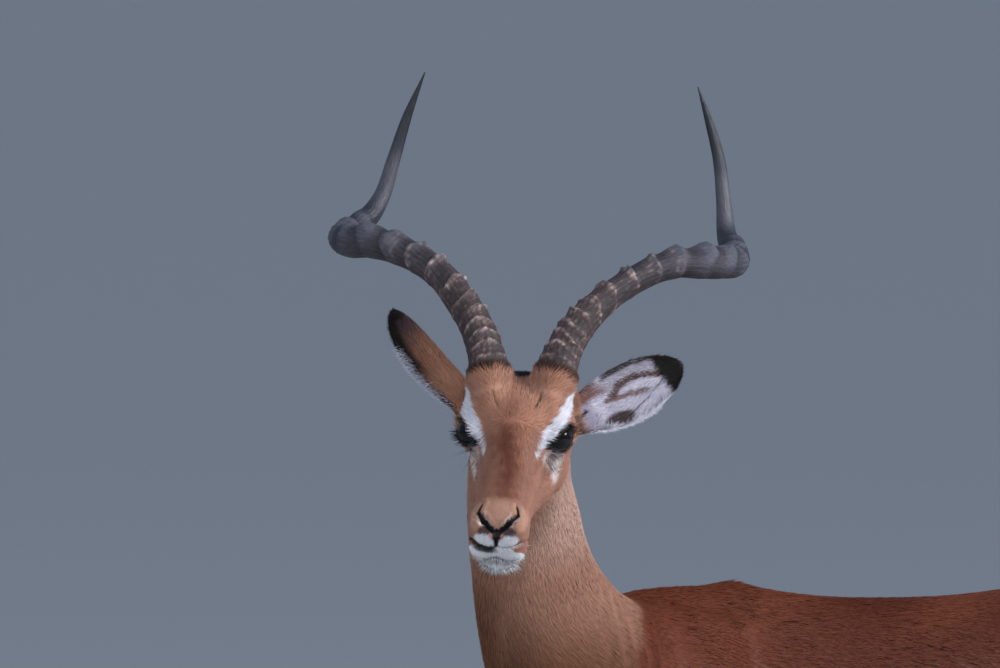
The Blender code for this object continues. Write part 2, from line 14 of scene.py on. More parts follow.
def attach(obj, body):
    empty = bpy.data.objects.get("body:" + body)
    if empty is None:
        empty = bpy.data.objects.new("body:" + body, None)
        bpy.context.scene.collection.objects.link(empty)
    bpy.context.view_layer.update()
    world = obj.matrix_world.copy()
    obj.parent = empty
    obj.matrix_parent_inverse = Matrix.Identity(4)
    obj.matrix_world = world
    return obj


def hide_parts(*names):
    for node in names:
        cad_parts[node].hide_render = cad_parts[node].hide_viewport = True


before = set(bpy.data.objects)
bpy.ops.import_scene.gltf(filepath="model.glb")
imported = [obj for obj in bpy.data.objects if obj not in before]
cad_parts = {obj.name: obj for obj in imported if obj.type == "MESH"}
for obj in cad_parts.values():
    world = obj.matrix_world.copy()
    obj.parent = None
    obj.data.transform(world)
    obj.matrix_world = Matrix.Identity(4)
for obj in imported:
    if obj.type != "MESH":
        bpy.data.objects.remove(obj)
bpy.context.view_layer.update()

# SKIN. One closed hide over skull, neck, trunk, tail and legs, with the two ear shells grown on it. It lies
# under the coat by the hair's depth, and has the folds, nostrils, lips and open eyes that a real head has.
# It is short-haired skin nearly everywhere: coloured like the coat, painted shade and light included, with a
# fine nap.

WITHERS = 0.889  # floor to the top of the shoulders
CHEST_FLOOR = 0.517  # floor to the lowest point of the chest
EYE_PLACE = Vector((0.246, -0.524, 1.054))  # midway between the eyes
CENTRING = Vector((-0.1148, 0.0530, 0.0))  # the tables' own origin, in the frame
LEFT, RIGHT = 1, -1
SIDES = ((LEFT, "left"), (RIGHT, "right"))
HERE = Matrix.Identity(4)
# Midway between the eyes, turned to where the ram looks, with +X still its left: level, and then nose down.
TURNED = Matrix.Rotation(math.radians(59), 4, "Z") @ Matrix.Rotation(math.radians(3.5), 4, "Y")
LEVEL = Matrix.Translation(EYE_PLACE) @ TURNED
HEAD = LEVEL @ Matrix.Rotation(math.radians(29), 4, "X")


def even(count):
    return np.linspace(0.0, 1.0, count)


def smooth_rows(rows, shares):
    """Rows read at these shares of the length along smooth curves through the stations."""
    rows = np.array(rows, float)
    knots = np.concatenate([[0], np.cumsum(np.linalg.norm(np.diff(rows[:, :3], axis=0), axis=1))])
    slopes = np.gradient(rows, knots, axis=0)
    at = np.asarray(shares) * knots[-1]
    low = np.clip(np.searchsorted(knots, at, side="right") - 1, 0, len(rows) - 2)
    span = (knots[low + 1] - knots[low])[:, None]
    t = (at[:, None] - knots[low][:, None]) / span
    start = (1 + 2 * t) * (1 - t) ** 2 * rows[low] + t * (1 - t) ** 2 * span * slopes[low]
    end = t * t * (3 - 2 * t) * rows[low + 1] + t * t * (t - 1) * span * slopes[low + 1]
    return start + end


def power(value, exponent):
    return math.copysign(abs(value) ** exponent, value)


def oval(row, angle):
    """Place on a rounded outline: half width, reach up and down, squareness, how far the top draws in."""
    half, above, below, square, draw_in = row
    across, up = power(math.cos(angle), 2 / square), power(math.sin(angle), 2 / square)
    return half * across * (1 - draw_in * max(up, 0.0)), (above if up > 0 else below) * up


def loft(bm, rows, up, sides, shares, place=HERE, outline=oval, overhang=0.0):
    """Adds one closed tube through stations of centre x, y, z and the outline's own numbers."""
    rows = smooth_rows(rows, shares)
    centres = [Vector(row[:3]) for row in rows]
    centres[0] += (centres[0] - centres[1]).normalized() * overhang
    angle = bm.verts.layers.float.get("angle") or bm.verts.layers.float.new("angle")
    ring = bmesh.ops.create_circle(bm, cap_ends=True, segments=sides, radius=1)["verts"]
    edges = list(dict.fromkeys(edge for vert in ring for edge in vert.link_edges))
    for index, vert in enumerate(ring):
        vert[angle] = 2 * math.pi * index / sides
    for k, centre in enumerate(centres):
        if k:
            grown = bmesh.ops.extrude_edge_only(bm, edges=edges)["geom"]
            ring = [g for g in grown if isinstance(g, bmesh.types.BMVert)]
            edges = [g for g in grown if isinstance(g, bmesh.types.BMEdge) and set(g.verts) <= set(ring)]
        along = (centres[min(k + 1, len(centres) - 1)] - centres[max(k - 1, 0)]).normalized()
        side = along.cross(up).normalized()
        rise = side.cross(along)
        for vert in ring:
            across, height = outline(rows[k][3:], vert[angle])
            vert.co = place @ (centre + side * across + rise * height)
    bmesh.ops.edgeloop_fill(bm, edges=edges)


def ball(bm, centre, radii, place=HERE, turn=0.0):
    """Adds an ellipsoid, turned about the upright."""
    shape = place @ Matrix.Translation(centre) @ Matrix.Rotation(turn, 4, "Z") @ Matrix.Diagonal((*radii, 1))
    bmesh.ops.create_uvsphere(bm, u_segments=20, v_segments=12, radius=1, matrix=shape)


# Flesh. Stations of the trunk: y, top, bottom, half width and how far the top draws in.
TRUNK_ROWS = (
    (-0.388, 0.715, 0.655, 0.040, 0.00),
    (-0.368, 0.770, 0.630, 0.070, 0.10),
    (-0.330, 0.850, 0.600, 0.088, 0.38),
    (-0.285, WITHERS - 0.008, 0.571, 0.098, 0.48),
    (-0.240, WITHERS - 0.002, 0.543, 0.106, 0.50),
    (-0.190, WITHERS, CHEST_FLOOR, 0.112, 0.44),
    (-0.130, 0.877, 0.519, 0.120, 0.32),
    (-0.050, 0.866, 0.528, 0.132, 0.20),
    (0.040, 0.862, 0.542, 0.137, 0.12),
    (0.140, 0.864, 0.566, 0.131, 0.12),
    (0.220, 0.872, 0.592, 0.119, 0.14),
    (0.290, 0.879, 0.620, 0.107, 0.14),
    (0.360, 0.878, 0.655, 0.096, 0.14),
    (0.425, 0.861, 0.690, 0.076, 0.10),
    (0.474, 0.826, 0.725, 0.040, 0.00),
)
# The neck: x, y, z, half width, and reach towards the nape and the throat.
NECK_ROWS = (
    (0.000, -0.180, 0.725, 0.095, 0.138, 0.150),
    (0.021, -0.296, 0.750, 0.088, 0.126, 0.142),
    (0.045, -0.364, 0.800, 0.076, 0.103, 0.115),
    (0.070, -0.412, 0.867, 0.0635, 0.086, 0.092),
    (0.096, -0.440, 0.930, 0.059, 0.075, 0.078),
    (0.116, -0.458, 0.990, 0.055, 0.067, 0.068),
    (0.145, -0.470, 1.045, 0.050, 0.058, 0.058),
    (0.180, -0.488, 1.070, 0.040, 0.045, 0.045),
)
NAPE = Vector((-0.25, 0.55, 0.80))
TAIL_ROWS = (
    (0.000, 0.440, 0.838, 0.030, 0.020, 0.020),
    (0.000, 0.484, 0.823, 0.021, 0.015, 0.017),
    (0.000, 0.508, 0.780, 0.0150, 0.0115, 0.0115),
    (0.001, 0.514, 0.700, 0.0135, 0.0100, 0.0100),
    (0.002, 0.514, 0.610, 0.0175, 0.0115, 0.0115),
    (0.003, 0.512, 0.530, 0.0190, 0.0115, 0.0115),
    (0.003, 0.510, 0.475, 0.0120, 0.0080, 0.0080),
    (0.003, 0.509, 0.450, 0.0040, 0.0030, 0.0030),
)
# Legs: x, y, z, half width, half depth forwards, half depth backwards.
FORELEG_ROWS = (
    (0.040, -0.205, 0.850, 0.016, 0.045, 0.045),
    (0.062, -0.225, 0.780, 0.038, 0.075, 0.075),
    (0.080, -0.240, 0.690, 0.046, 0.084, 0.098),
    (0.082, -0.218, 0.610, 0.044, 0.062, 0.086),
    (0.080, -0.205, 0.540, 0.036, 0.047, 0.063),
    (0.078, -0.206, 0.470, 0.0275, 0.0390, 0.0420),
    (0.076, -0.212, 0.390, 0.0210, 0.0270, 0.0275),
    (0.075, -0.216, 0.335, 0.0190, 0.0215, 0.0215),
    (0.075, -0.219, 0.300, 0.0210, 0.0230, 0.0215),
    (0.075, -0.216, 0.262, 0.0175, 0.0180, 0.0190),
    (0.075, -0.213, 0.190, 0.0137, 0.0147, 0.0162),
    (0.075, -0.212, 0.128, 0.0144, 0.0152, 0.0177),
    (0.075, -0.213, 0.100, 0.0185, 0.0190, 0.0215),
    (0.075, -0.227, 0.066, 0.0167, 0.0167, 0.0177),
    (0.075, -0.241, 0.038, 0.0207, 0.0202, 0.0200),
    (0.075, -0.246, 0.012, 0.0202, 0.0210, 0.0200),
)
HINDLEG_ROWS = (
    (0.045, 0.335, 0.845, 0.026, 0.070, 0.070),
    (0.066, 0.345, 0.790, 0.046, 0.110, 0.112),
    (0.077, 0.345, 0.710, 0.054, 0.128, 0.126),
    (0.080, 0.328, 0.630, 0.050, 0.112, 0.117),
    (0.077, 0.330, 0.560, 0.041, 0.083, 0.087),
    (0.072, 0.362, 0.495, 0.031, 0.055, 0.057),
    (0.068, 0.402, 0.430, 0.0220, 0.0340, 0.0350),
    (0.066, 0.431, 0.382, 0.0180, 0.0255, 0.0300),
    (0.065, 0.445, 0.345, 0.0205, 0.0265, 0.0320),
    (0.065, 0.446, 0.303, 0.0176, 0.0200, 0.0255),
    (0.066, 0.440, 0.220, 0.0142, 0.0157, 0.0187),
    (0.067, 0.431, 0.135, 0.0150, 0.0162, 0.0187),
    (0.068, 0.428, 0.102, 0.0185, 0.0200, 0.0225),
    (0.068, 0.415, 0.066, 0.0162, 0.0167, 0.0177),
    (0.068, 0.401, 0.038, 0.0202, 0.0202, 0.0200),
    (0.068, 0.396, 0.012, 0.0197, 0.0210, 0.0200),
)
LEAN_FROM = 0.56  # a leg steps forwards or backwards below this height
STEPS = {
    ("fore", LEFT): -0.022,
    ("fore", RIGHT): 0.030,
    ("hind", LEFT): 0.034,
    ("hind", RIGHT): -0.030,
}
# Head, in its own frame with the nose towards -Y: y, middle height, half width, above, below, squareness.
SKULL_ROWS = (
    (0.106, -0.022, 0.026, 0.018, 0.026, 2.0),
    (0.090, -0.018, 0.043, 0.033, 0.042, 2.2),
    (0.068, -0.014, 0.0500, 0.045, 0.058, 2.4),
    (0.045, -0.013, 0.0525, 0.054, 0.063, 2.6),
    (0.022, -0.014, 0.0515, 0.055, 0.064, 2.5),
    (0.000, -0.018, 0.0450, 0.0525, 0.062, 2.4),
    (-0.022, -0.022, 0.0375, 0.0470, 0.056, 2.3),
    (-0.045, -0.025, 0.0340, 0.0430, 0.045, 2.3),
    (-0.075, -0.027, 0.0320, 0.0380, 0.036, 2.3),
    (-0.105, -0.029, 0.0305, 0.0330, 0.029, 2.3),
    (-0.130, -0.030, 0.0315, 0.0300, 0.029, 2.3),
    (-0.147, -0.031, 0.0300, 0.0275, 0.028, 2.3),
    (-0.1560, -0.031, 0.0230, 0.0215, 0.023, 2.2),
    (-0.1605, -0.031, 0.0120, 0.0120, 0.013, 2.0),
)
JAW_ROWS = (
    (0.073, -0.050, 0.036, 0.030, 0.030, 2.1),
    (0.048, -0.055, 0.0465, 0.035, 0.038, 2.2),
    (0.020, -0.055, 0.0480, 0.035, 0.039, 2.2),
    (-0.015, -0.053, 0.0420, 0.035, 0.031, 2.2),
    (-0.055, -0.050, 0.0320, 0.030, 0.025, 2.1),
    (-0.095, -0.053, 0.0255, 0.020, 0.018, 2.1),
    (-0.125, -0.058, 0.0225, 0.015, 0.015, 2.1),
    (-0.143, -0.0605, 0.0155, 0.010, 0.010, 2.0),
)
# Bulges of the head: out to the side, back and up, their radii, and how far they turn in towards the nose.
BULGES = (
    (0.0000, -0.1330, -0.0655, 0.0195, 0.0200, 0.0115, 0.0),  # chin
    (0.0000, 0.0480, 0.0220, 0.0300, 0.0300, 0.0170, 0.0),  # crown
    (0.0325, 0.0440, 0.0290, 0.0245, 0.0300, 0.0205, 0.0),  # below a horn
    (0.0445, 0.0010, -0.0005, 0.0185, 0.0290, 0.0215, 0.35),  # around an eye
    (0.0340, 0.0220, 0.0120, 0.0235, 0.0360, 0.0220, 0.1),  # temple
    (0.0380, 0.0150, -0.0270, 0.0170, 0.0420, 0.0160, 0.25),  # cheekbone
    (0.0385, 0.0300, -0.0520, 0.0150, 0.0380, 0.0320, 0.1),  # chewing muscle
    (0.0400, 0.0750, -0.0100, 0.0200, 0.0220, 0.0250, 0.0),  # root of an ear
    (0.0175, -0.1470, -0.0190, 0.0120, 0.0130, 0.0130, 0.0),  # wing of the nose
    (0.0150, -0.1440, -0.0465, 0.0165, 0.0160, 0.0130, 0.0),  # upper lip
)


HORN_ROWS = {
    LEFT: (
        (0.0310, 0.0110, 0.0370, 0.0150),
        (0.0332, 0.0160, 0.0486, 0.0193),
        (0.0436, 0.0343, 0.0919, 0.0183),
        (0.0573, 0.0480, 0.1170, 0.0168),
        (0.0760, 0.0662, 0.1391, 0.0148),
        (0.0980, 0.0847, 0.1574, 0.0140),
        (0.1405, 0.1164, 0.1792, 0.0146),
        (0.1815, 0.1459, 0.1813, 0.0154),
        (0.1992, 0.1850, 0.1838, 0.0146),
        (0.1964, 0.2079, 0.1925, 0.0130),
        (0.1881, 0.2242, 0.2039, 0.0110),
        (0.1794, 0.2406, 0.2447, 0.0079),
        (0.1714, 0.2491, 0.2858, 0.0065),
        (0.1575, 0.2529, 0.3267, 0.0041),
        (0.1444, 0.2528, 0.3605, 0.0006),
    ),
    RIGHT: (
        (-0.0262, 0.0050, 0.0360, 0.0150),
        (-0.0288, 0.0100, 0.0470, 0.0193),
        (-0.0400, 0.0255, 0.0858, 0.0183),
        (-0.0519, 0.0365, 0.1093, 0.0172),
        (-0.0693, 0.0509, 0.1303, 0.0160),
        (-0.0876, 0.0652, 0.1492, 0.0152),
        (-0.1259, 0.0884, 0.1712, 0.0148),
        (-0.1666, 0.1094, 0.1818, 0.0157),
        (-0.2003, 0.1380, 0.1804, 0.0154),
        (-0.2061, 0.1595, 0.1837, 0.0142),
        (-0.1984, 0.1785, 0.1930, 0.0124),
        (-0.1842, 0.1932, 0.2081, 0.0108),
        (-0.1766, 0.2011, 0.2230, 0.0092),
        (-0.1663, 0.2125, 0.2652, 0.0072),
        (-0.1564, 0.2188, 0.3076, 0.0052),
        (-0.1399, 0.2229, 0.3588, 0.0006),
    ),
}
HEEL = 11  # the station of a hind leg that carries the black tuft
HEAD_REACH = 0.20  # no part of the head lies farther from the middle of the skull
HORN_LENGTH = 0.518  # along the curve
HAIRLINE = 0.032  # how far up a horn the skin reaches
COLLAR = 0.0035  # thickness of the skin around the foot of a horn
# Each ring's crest along the horn, and how far it stands out in front. It drops off sharply towards the tip.
RINGS = (
    (0.048, 0.0014),
    (0.060, 0.0016),
    (0.073, 0.0018),
    (0.087, 0.0020),
    (0.105, 0.0022),
    (0.130, 0.0026),
    (0.160, 0.0028),
    (0.189, 0.0028),
    (0.218, 0.0028),
    (0.248, 0.0028),
    (0.274, 0.0026),
    (0.297, 0.0024),
    (0.318, 0.0018),
    (0.339, 0.0012),
)


def shape_head(bm):
    """Skull, jaws and bulges, of which all but the middle ones come in pairs, and a collar per horn."""
    up = Vector((0, 0, 1))
    for table, sides, count in ((SKULL_ROWS, 36, 40), (JAW_ROWS, 28, 30)):
        rows = [(0, y, z, half, above, below, square, 0) for y, z, half, above, below, square in table]
        loft(bm, rows, up, sides, even(count), HEAD)
    for x, y, z, *radii, turn in BULGES:
        for side in (LEFT, RIGHT) if x else (LEFT,):
            ball(bm, (side * x, y, z), radii, HEAD, -side * turn)
    for side in (LEFT, RIGHT):
        rows = smooth_rows(HORN_ROWS[side], [HAIRLINE / HORN_LENGTH * share for share in even(4)])
        rows = [(*row[:3], *[row[3] + COLLAR] * 3, 2.0, 0.0) for row in rows]
        loft(bm, rows, up, 24, even(6), LEVEL, overhang=0.025)


def leg_rows(name, side):
    """A leg's stations on one side, stepped forwards or backwards."""
    rows = FORELEG_ROWS if name == "fore" else HINDLEG_ROWS
    step = STEPS[name, side]
    return [
        (side * x, y + step * max(0.0, 1 - z / LEAN_FROM), z, half, ahead, behind, 2.2, 0.0)
        for x, y, z, half, ahead, behind in rows
    ]


def shape_neck(bm, first):
    loft(bm, [(*row, 2.1, 0.0) for row in NECK_ROWS[first:]], NAPE, 32, even(30))


def shape_body(bm):
    """Trunk, neck, tail and legs."""
    up, ahead = Vector((0, 0, 1)), Vector((0, -1, 0))
    rows = [
        (0, y, (t + b) / 2, half, (t - b) / 2, (t - b) / 2, 2.1, draw) for y, t, b, half, draw in TRUNK_ROWS
    ]
    loft(bm, rows, up, 36, even(40))
    shape_neck(bm, 0)
    loft(bm, [(*row, 2.2, 0.0) for row in TAIL_ROWS], ahead, 16, even(30))
    for side in (LEFT, RIGHT):
        loft(bm, leg_rows("fore", side), ahead, 20, even(60))
        loft(bm, leg_rows("hind", side), ahead, 20, even(60))
    ball(bm, (0.010, -0.262, 0.668), (0.092, 0.092, 0.112))
    ball(bm, (0, 0.100, 0.566), (0.014, 0.090, 0.017))
    ball(bm, (0, 0.322, 0.618), (0.026, 0.026, 0.042))


def soft(value, low, high):
    """0 below low and 1 above high, with a soft turn between."""
    t = np.clip((value - low) / (high - low), 0.0, 1.0)
    return t * t * (3 - 2 * t)


def hump(value, top, reach):
    """1 at the top, sinking softly to 0 on both sides."""
    return np.exp(-(((value - top) / reach) ** 2))


def placed(points, frame_matrix):
    """Points read in a frame's own coordinates."""
    return carried(points, frame_matrix.inverted())


def carried(points, frame_matrix):
    """Places of a frame read in the tables' own frame."""
    m = np.array(frame_matrix)
    return points @ m[:3, :3].T + m[:3, 3]


def along_line(points, line):
    """How far points are from a line of short runs, and the share of its length at the nearest place."""
    line = np.array(line, float)[:, :3]
    knots = np.concatenate([[0], np.cumsum(np.linalg.norm(np.diff(line, axis=0), axis=1))])
    best, share = np.full(len(points), 9.0), np.zeros(len(points))
    for k, (a, b) in enumerate(zip(line[:-1], line[1:])):
        t = np.clip((points - a) @ (b - a) / ((b - a) @ (b - a)), 0, 1)
        away = np.linalg.norm(points - a - t[:, None] * (b - a), axis=1)
        nearer = away < best
        best[nearer] = away[nearer]
        share[nearer] = ((knots[k] + t * (knots[k + 1] - knots[k])) / knots[-1])[nearer]
    return best, share


def from_skull(head):
    """How far places in the head's frame are from the middle of the skull."""
    return np.linalg.norm(head - (0, -0.03, -0.02), axis=1)


def within(points, middle, radii):
    """1 on an ellipsoid around a place, less inside it."""
    return np.linalg.norm((points - middle) / radii, axis=1)


def past_jaw(points):
    """How far places lie towards the neck from the slanting cut where the head ends."""
    cut, across = HEAD @ Vector((0, 0.068, -0.098)), (HEAD.to_3x3() @ Vector((0, 0.60, -0.80))).normalized()
    return (points - cut) @ np.array(across)


def mirrored(points):
    """The same places on the left half of the head."""
    return np.abs(points[:, :1]) * (1, 0, 0) + points * (0, 1, 1)


def new_mesh(name, bm):
    bmesh.ops.recalc_face_normals(bm, faces=bm.faces)
    mesh = bpy.data.meshes.new(name)
    bm.to_mesh(mesh)
    bm.free()
    return mesh


def shown(name, data):
    """A new object of the scene that holds this data."""
    obj = bpy.data.objects.new(name, data)
    bpy.context.collection.objects.link(obj)
    return obj


def read(mesh, normals=False):
    values = np.empty(len(mesh.vertices) * 3, np.float32)
    if normals:
        mesh.vertex_normals.foreach_get("vector", values)
    else:
        mesh.vertices.foreach_get("co", values)
    return values.reshape(-1, 3).astype(float)


def filled(collection, key, values):
    """Writes an array into a collection of a mesh."""
    collection.foreach_set(key, values.astype(np.float32).ravel())


def write(mesh, points):
    filled(mesh.vertices, "co", points)
    mesh.update()


def evaluated(obj):
    """obj's mesh with its modifiers applied; obj itself is removed."""
    bpy.context.view_layer.update()
    graph = bpy.context.evaluated_depsgraph_get()
    mesh = bpy.data.meshes.new_from_object(obj.evaluated_get(graph))
    bpy.data.objects.remove(obj)
    return mesh


def one_skin(mesh, voxel, smoothing):
    """A single closed surface around everything in the mesh, with soft joins."""
    obj = shown("flesh", mesh)
    remesh = obj.modifiers.new("one_skin", "REMESH")
    remesh.mode, remesh.voxel_size = "VOXEL", voxel
    smooth = obj.modifiers.new("soft_joins", "SMOOTH")
    smooth.iterations = smoothing
    return evaluated(obj)


def opened(mesh):
    """A mesh taken into bmesh."""
    bm = bmesh.new()
    bm.from_mesh(mesh)
    bm.verts.ensure_lookup_table()
    return bm


def softened(bm, verts, times):
    for _ in range(times):
        bmesh.ops.smooth_vert(bm, verts=verts, factor=0.5, use_axis_x=True, use_axis_y=True, use_axis_z=True)


def flesh():
    """Body and head fused, softer where the body is thick."""
    bm = bmesh.new()
    shape_body(bm)
    body = one_skin(new_mesh("body", bm), 0.004, 8)
    bm = bmesh.new()
    shape_head(bm)
    shape_neck(bm, 4)
    skull = one_skin(new_mesh("skull", bm), 0.0022, 10)
    bm = opened(body)
    softened(bm, [vert for vert in bm.verts if vert.co.z > 0.49], 18)
    bm.from_mesh(skull)
    return one_skin(new_mesh("ram", bm), 0.0027, 2)


def thinned(mesh, ratio):
    """Fewer faces on the body and legs; the head and the folds of the neck keep theirs."""
    obj = shown("thinned", mesh)
    points = read(mesh)
    away = from_skull(placed(points, HEAD))
    folds = np.min([along_line(points, line)[0] for line in NECK_FOLDS], axis=0)
    body = obj.vertex_groups.new(name="body")
    body.add(np.nonzero((away > 0.15) & (folds > 0.02))[0].tolist(), 1.0, "REPLACE")
    thin = obj.modifiers.new("few_faces", "DECIMATE")
    thin.ratio, thin.vertex_group, thin.use_collapse_triangulate = ratio, "body", True
    return evaluated(obj)


# Lines of the folds and hollows of the head in its own frame, mirrored from the left half but for the brow's.
NOSTRIL = (
    (0.0185, -0.1275, -0.0030), (0.0200, -0.1400, -0.0085), (0.0125, -0.1530, -0.0105),
    (0.0065, -0.1575, -0.0150), (0.0015, -0.1600, -0.0195),
)
PHILTRUM = ((0.0, -0.1605, -0.0190), (0.0, -0.1610, -0.0270), (0.0, -0.1600, -0.0350))
MOUTH = (
    (0.0, -0.1605, -0.0362), (0.0080, -0.1600, -0.0366), (0.0170, -0.1580, -0.0352),
    (0.0235, -0.1520, -0.0330), (0.0280, -0.1400, -0.0372), (0.0275, -0.1220, -0.0450),
    (0.0245, -0.1050, -0.0500),
)
# The bare skin under a nostril: its middle and how far it reaches.
NOSE_HOLLOW = ((0.0120, -0.1575, -0.0175), (0.0080, 0.0120, 0.0048))
# Where the white of the lower lip ends: along Y, and its height there.
GAPE = (
    (-0.162, -0.0364), (-0.155, -0.0360), (-0.150, -0.0425), (-0.140, -0.0505), (-0.122, -0.0560),
    (-0.100, -0.0590),
)
TEAR_FOLD = ((0.0375, -0.0225, 0.0055), (0.0355, -0.0310, -0.0005), (0.0335, -0.0400, -0.0060))
BROW_CREASES = (
    ((-0.0245, 0.0100, 0.0415), (-0.0158, -0.0045, 0.0305)),
    ((0.0254, 0.0158, 0.0385), (0.0193, -0.0018, 0.0303)),
)
# Folds of the bent neck, in the tables' frame.
NECK_FOLDS = (
    ((0.0835, -0.3405, 0.8944), (0.0958, -0.3417, 0.8794), (0.1026, -0.3380, 0.8588),
     (0.1082, -0.3360, 0.8381), (0.1114, -0.3341, 0.8173), (0.1140, -0.3330, 0.8007),
     (0.1130, -0.3300, 0.7700)),
    ((0.0754, -0.2993, 0.8559), (0.0901, -0.3006, 0.8359), (0.0993, -0.3015, 0.8155),
     (0.1046, -0.3018, 0.7991), (0.1060, -0.2990, 0.7700)),
    ((0.1138, -0.3642, 0.8811), (0.1182, -0.3628, 0.8500), (0.1196, -0.3589, 0.8186),
     (0.1210, -0.3572, 0.8019)),
)
EYE_RADIUS = 0.0165
EYE_SPREAD = 0.0422  # middle of the head to the middle of an eyeball
LID_OPENING = (0.0140, 0.0086)  # half length and half height of the open eye


def gaze(side):
    """An eye's own frame: +Z out through the pupil, X along the slit of the lids."""
    out = Vector((side * 0.78, -0.60, 0.18)).normalized()
    up = out.cross(Vector((side * 0.60, 0.76, 0.22))).normalized()
    turn = Matrix((up.cross(out), up, out)).transposed().to_4x4()
    return HEAD @ Matrix.Translation((side * EYE_SPREAD, 0, 0)) @ turn


def almond(points):
    """1 on the edge of the open eye, less inside it. The inner corner is drawn out."""
    x, y = points[:, 0], points[:, 1]
    tall = np.sqrt(np.clip(1.15 - (x / 0.026) ** 2, 0.1, 2))
    return np.sqrt((x / LID_OPENING[0]) ** 2 + (y / LID_OPENING[1] / tall) ** 2)


def coat_depth(points):
    """Thickness of the coat over each place of the skin, in metres."""
    head, level = placed(points, HEAD), placed(points, LEVEL)
    away = from_skull(head)
    depth = 0.0030 + 0.0030 * soft(away, 0.11, 0.17)
    muzzle = 1 - soft(head[:, 1], -0.125, -0.060)
    depth = np.where(away < 0.17, depth * (1 - 0.55 * muzzle), depth)
    depth = np.where(away > 0.16, 0.0022 + 0.0043 * soft(points[:, 2], 0.30, 0.56), depth)
    for side in (LEFT, RIGHT):
        foot = np.linalg.norm(level - HORN_ROWS[side][1][:3], axis=1)
        depth = np.minimum(depth, 0.0012 + 0.03 * np.maximum(foot - 0.034, 0))
    return depth


def sculpted(points, normals):
    """Folds, nostrils, lips and eye openings carried into the skin."""
    head = placed(points, HEAD)
    turn = np.array(HEAD.to_3x3().inverted())
    facing = normals @ turn.T
    half = mirrored(head)
    move = np.zeros(len(points))
    close = half[:, 1] < -0.09
    away, share = along_line(half[close], NOSTRIL)
    width = 0.0016 + 0.0018 * soft(share, 0.25, 0.6)
    groove = hump(away, 0, width) * (0.0030 + 0.0030 * soft(share, 0.2, 0.6))
    hollow = within(half[close], NOSE_HOLLOW[0], NOSE_HOLLOW[1])
    groove += 0.0022 * hump(hollow, 0, 1)
    above = soft(half[close][:, 2], -0.024, -0.012)
    move[close] += 0.0010 * hump(away, 0.0055, 0.0028) * above - groove
    move[close] -= 0.0026 * hump(along_line(half[close], PHILTRUM)[0], 0, 0.0024)
    away, share = along_line(half[close], MOUTH)
    fades = 1 - 0.8 * soft(share, 0.35, 0.9)
    move[close] += fades * (0.0007 * hump(away, 0.0045, 0.0025) - 0.0028 * hump(away, 0, 0.0015))
    pad = within(half[close], (0.0125, -0.1590, -0.0275), (0.0105, 0.012, 0.0075))
    move[close] += 0.0020 * hump(pad, 0, 1)
    move -= 0.0016 * hump(along_line(half, TEAR_FOLD)[0], 0, 0.0028)
    for line in BROW_CREASES:
        move -= 0.0014 * hump(along_line(head, line)[0], 0, 0.0016)
    for line, deep in zip(NECK_FOLDS, (0.0026, 0.0020, 0.0016)):
        away, share = along_line(points, line)
        ends = soft(share, 0, 0.25) * (1 - soft(share, 0.8, 1))
        move += ends * deep * (0.55 * hump(away, 0.012, 0.006) - hump(away, 0, 0.0048))
    points = points + normals * move[:, None]
    for side in (LEFT, RIGHT):
        eye = placed(points, gaze(side))
        edge = almond(eye)
        radius = np.hypot(eye[:, 0], eye[:, 1])
        ball = np.sqrt(np.maximum(EYE_RADIUS**2 - radius**2, 0.0))
        near = (eye[:, 2] > -0.004) & (np.linalg.norm(eye, axis=1) < 0.045)
        margin = near * (1 - soft(edge, 1.05, 1.75))
        fold = 0.0013 * hump(edge, 1.55, 0.16) * soft(eye[:, 1], 0.0, 0.006)
        lid = ball + 0.0016 - fold
        open_eye = edge < 1.0
        eye[:, 2] = np.where(near, eye[:, 2] - near * fold * (margin < 1), eye[:, 2])
        closer = eye[:, 2] + margin * (lid - eye[:, 2]) * ~open_eye
        eye[:, 2] = np.where(near & open_eye, ball - 0.0030, closer)
        points = np.where(near[:, None], carried(eye, gaze(side)), points)
    return points


# Ears: half width, depth of the cup and thickness along the ear, over its length.
EAR_LENGTH = 0.141
EAR_ROWS = (
    (-0.090, 0.100, 0.100, 0.195),
    (0.000, 0.120, 0.115, 0.220),
    (0.120, 0.140, 0.140, 0.150),
    (0.280, 0.185, 0.150, 0.042),
    (0.450, 0.208, 0.135, 0.034),
    (0.620, 0.206, 0.115, 0.031),
    (0.780, 0.176, 0.085, 0.029),
    (0.900, 0.122, 0.055, 0.027),
    (0.970, 0.066, 0.030, 0.024),
    (1.000, 0.020, 0.014, 0.018),
)
# Where each ear grows, the way it points and the way its cup opens, in the level frame.
EARS = {
    LEFT: (Vector((0.047, 0.076, 0.013)), Vector((0.108, 0.066, 0.063)), Vector((0.42, -0.87, 0.25))),
    RIGHT: (Vector((-0.052, 0.080, 0.012)), Vector((-0.095, 0.030, 0.104)), Vector((-0.56, 0.39, -0.73))),
}
# How far the middle of each ear strays from a straight line.
EAR_BOW = {LEFT: Vector((0.0, 0.0, -0.002)), RIGHT: Vector((-0.009, 0.0, -0.003))}


def linear(code):
    """An sRGB hex colour as linear light."""
    value = np.array([int(code[k : k + 2], 16) for k in (1, 3, 5)]) / 255
    return np.where(value <= 0.04045, value / 12.92, ((value + 0.055) / 1.055) ** 2.4)


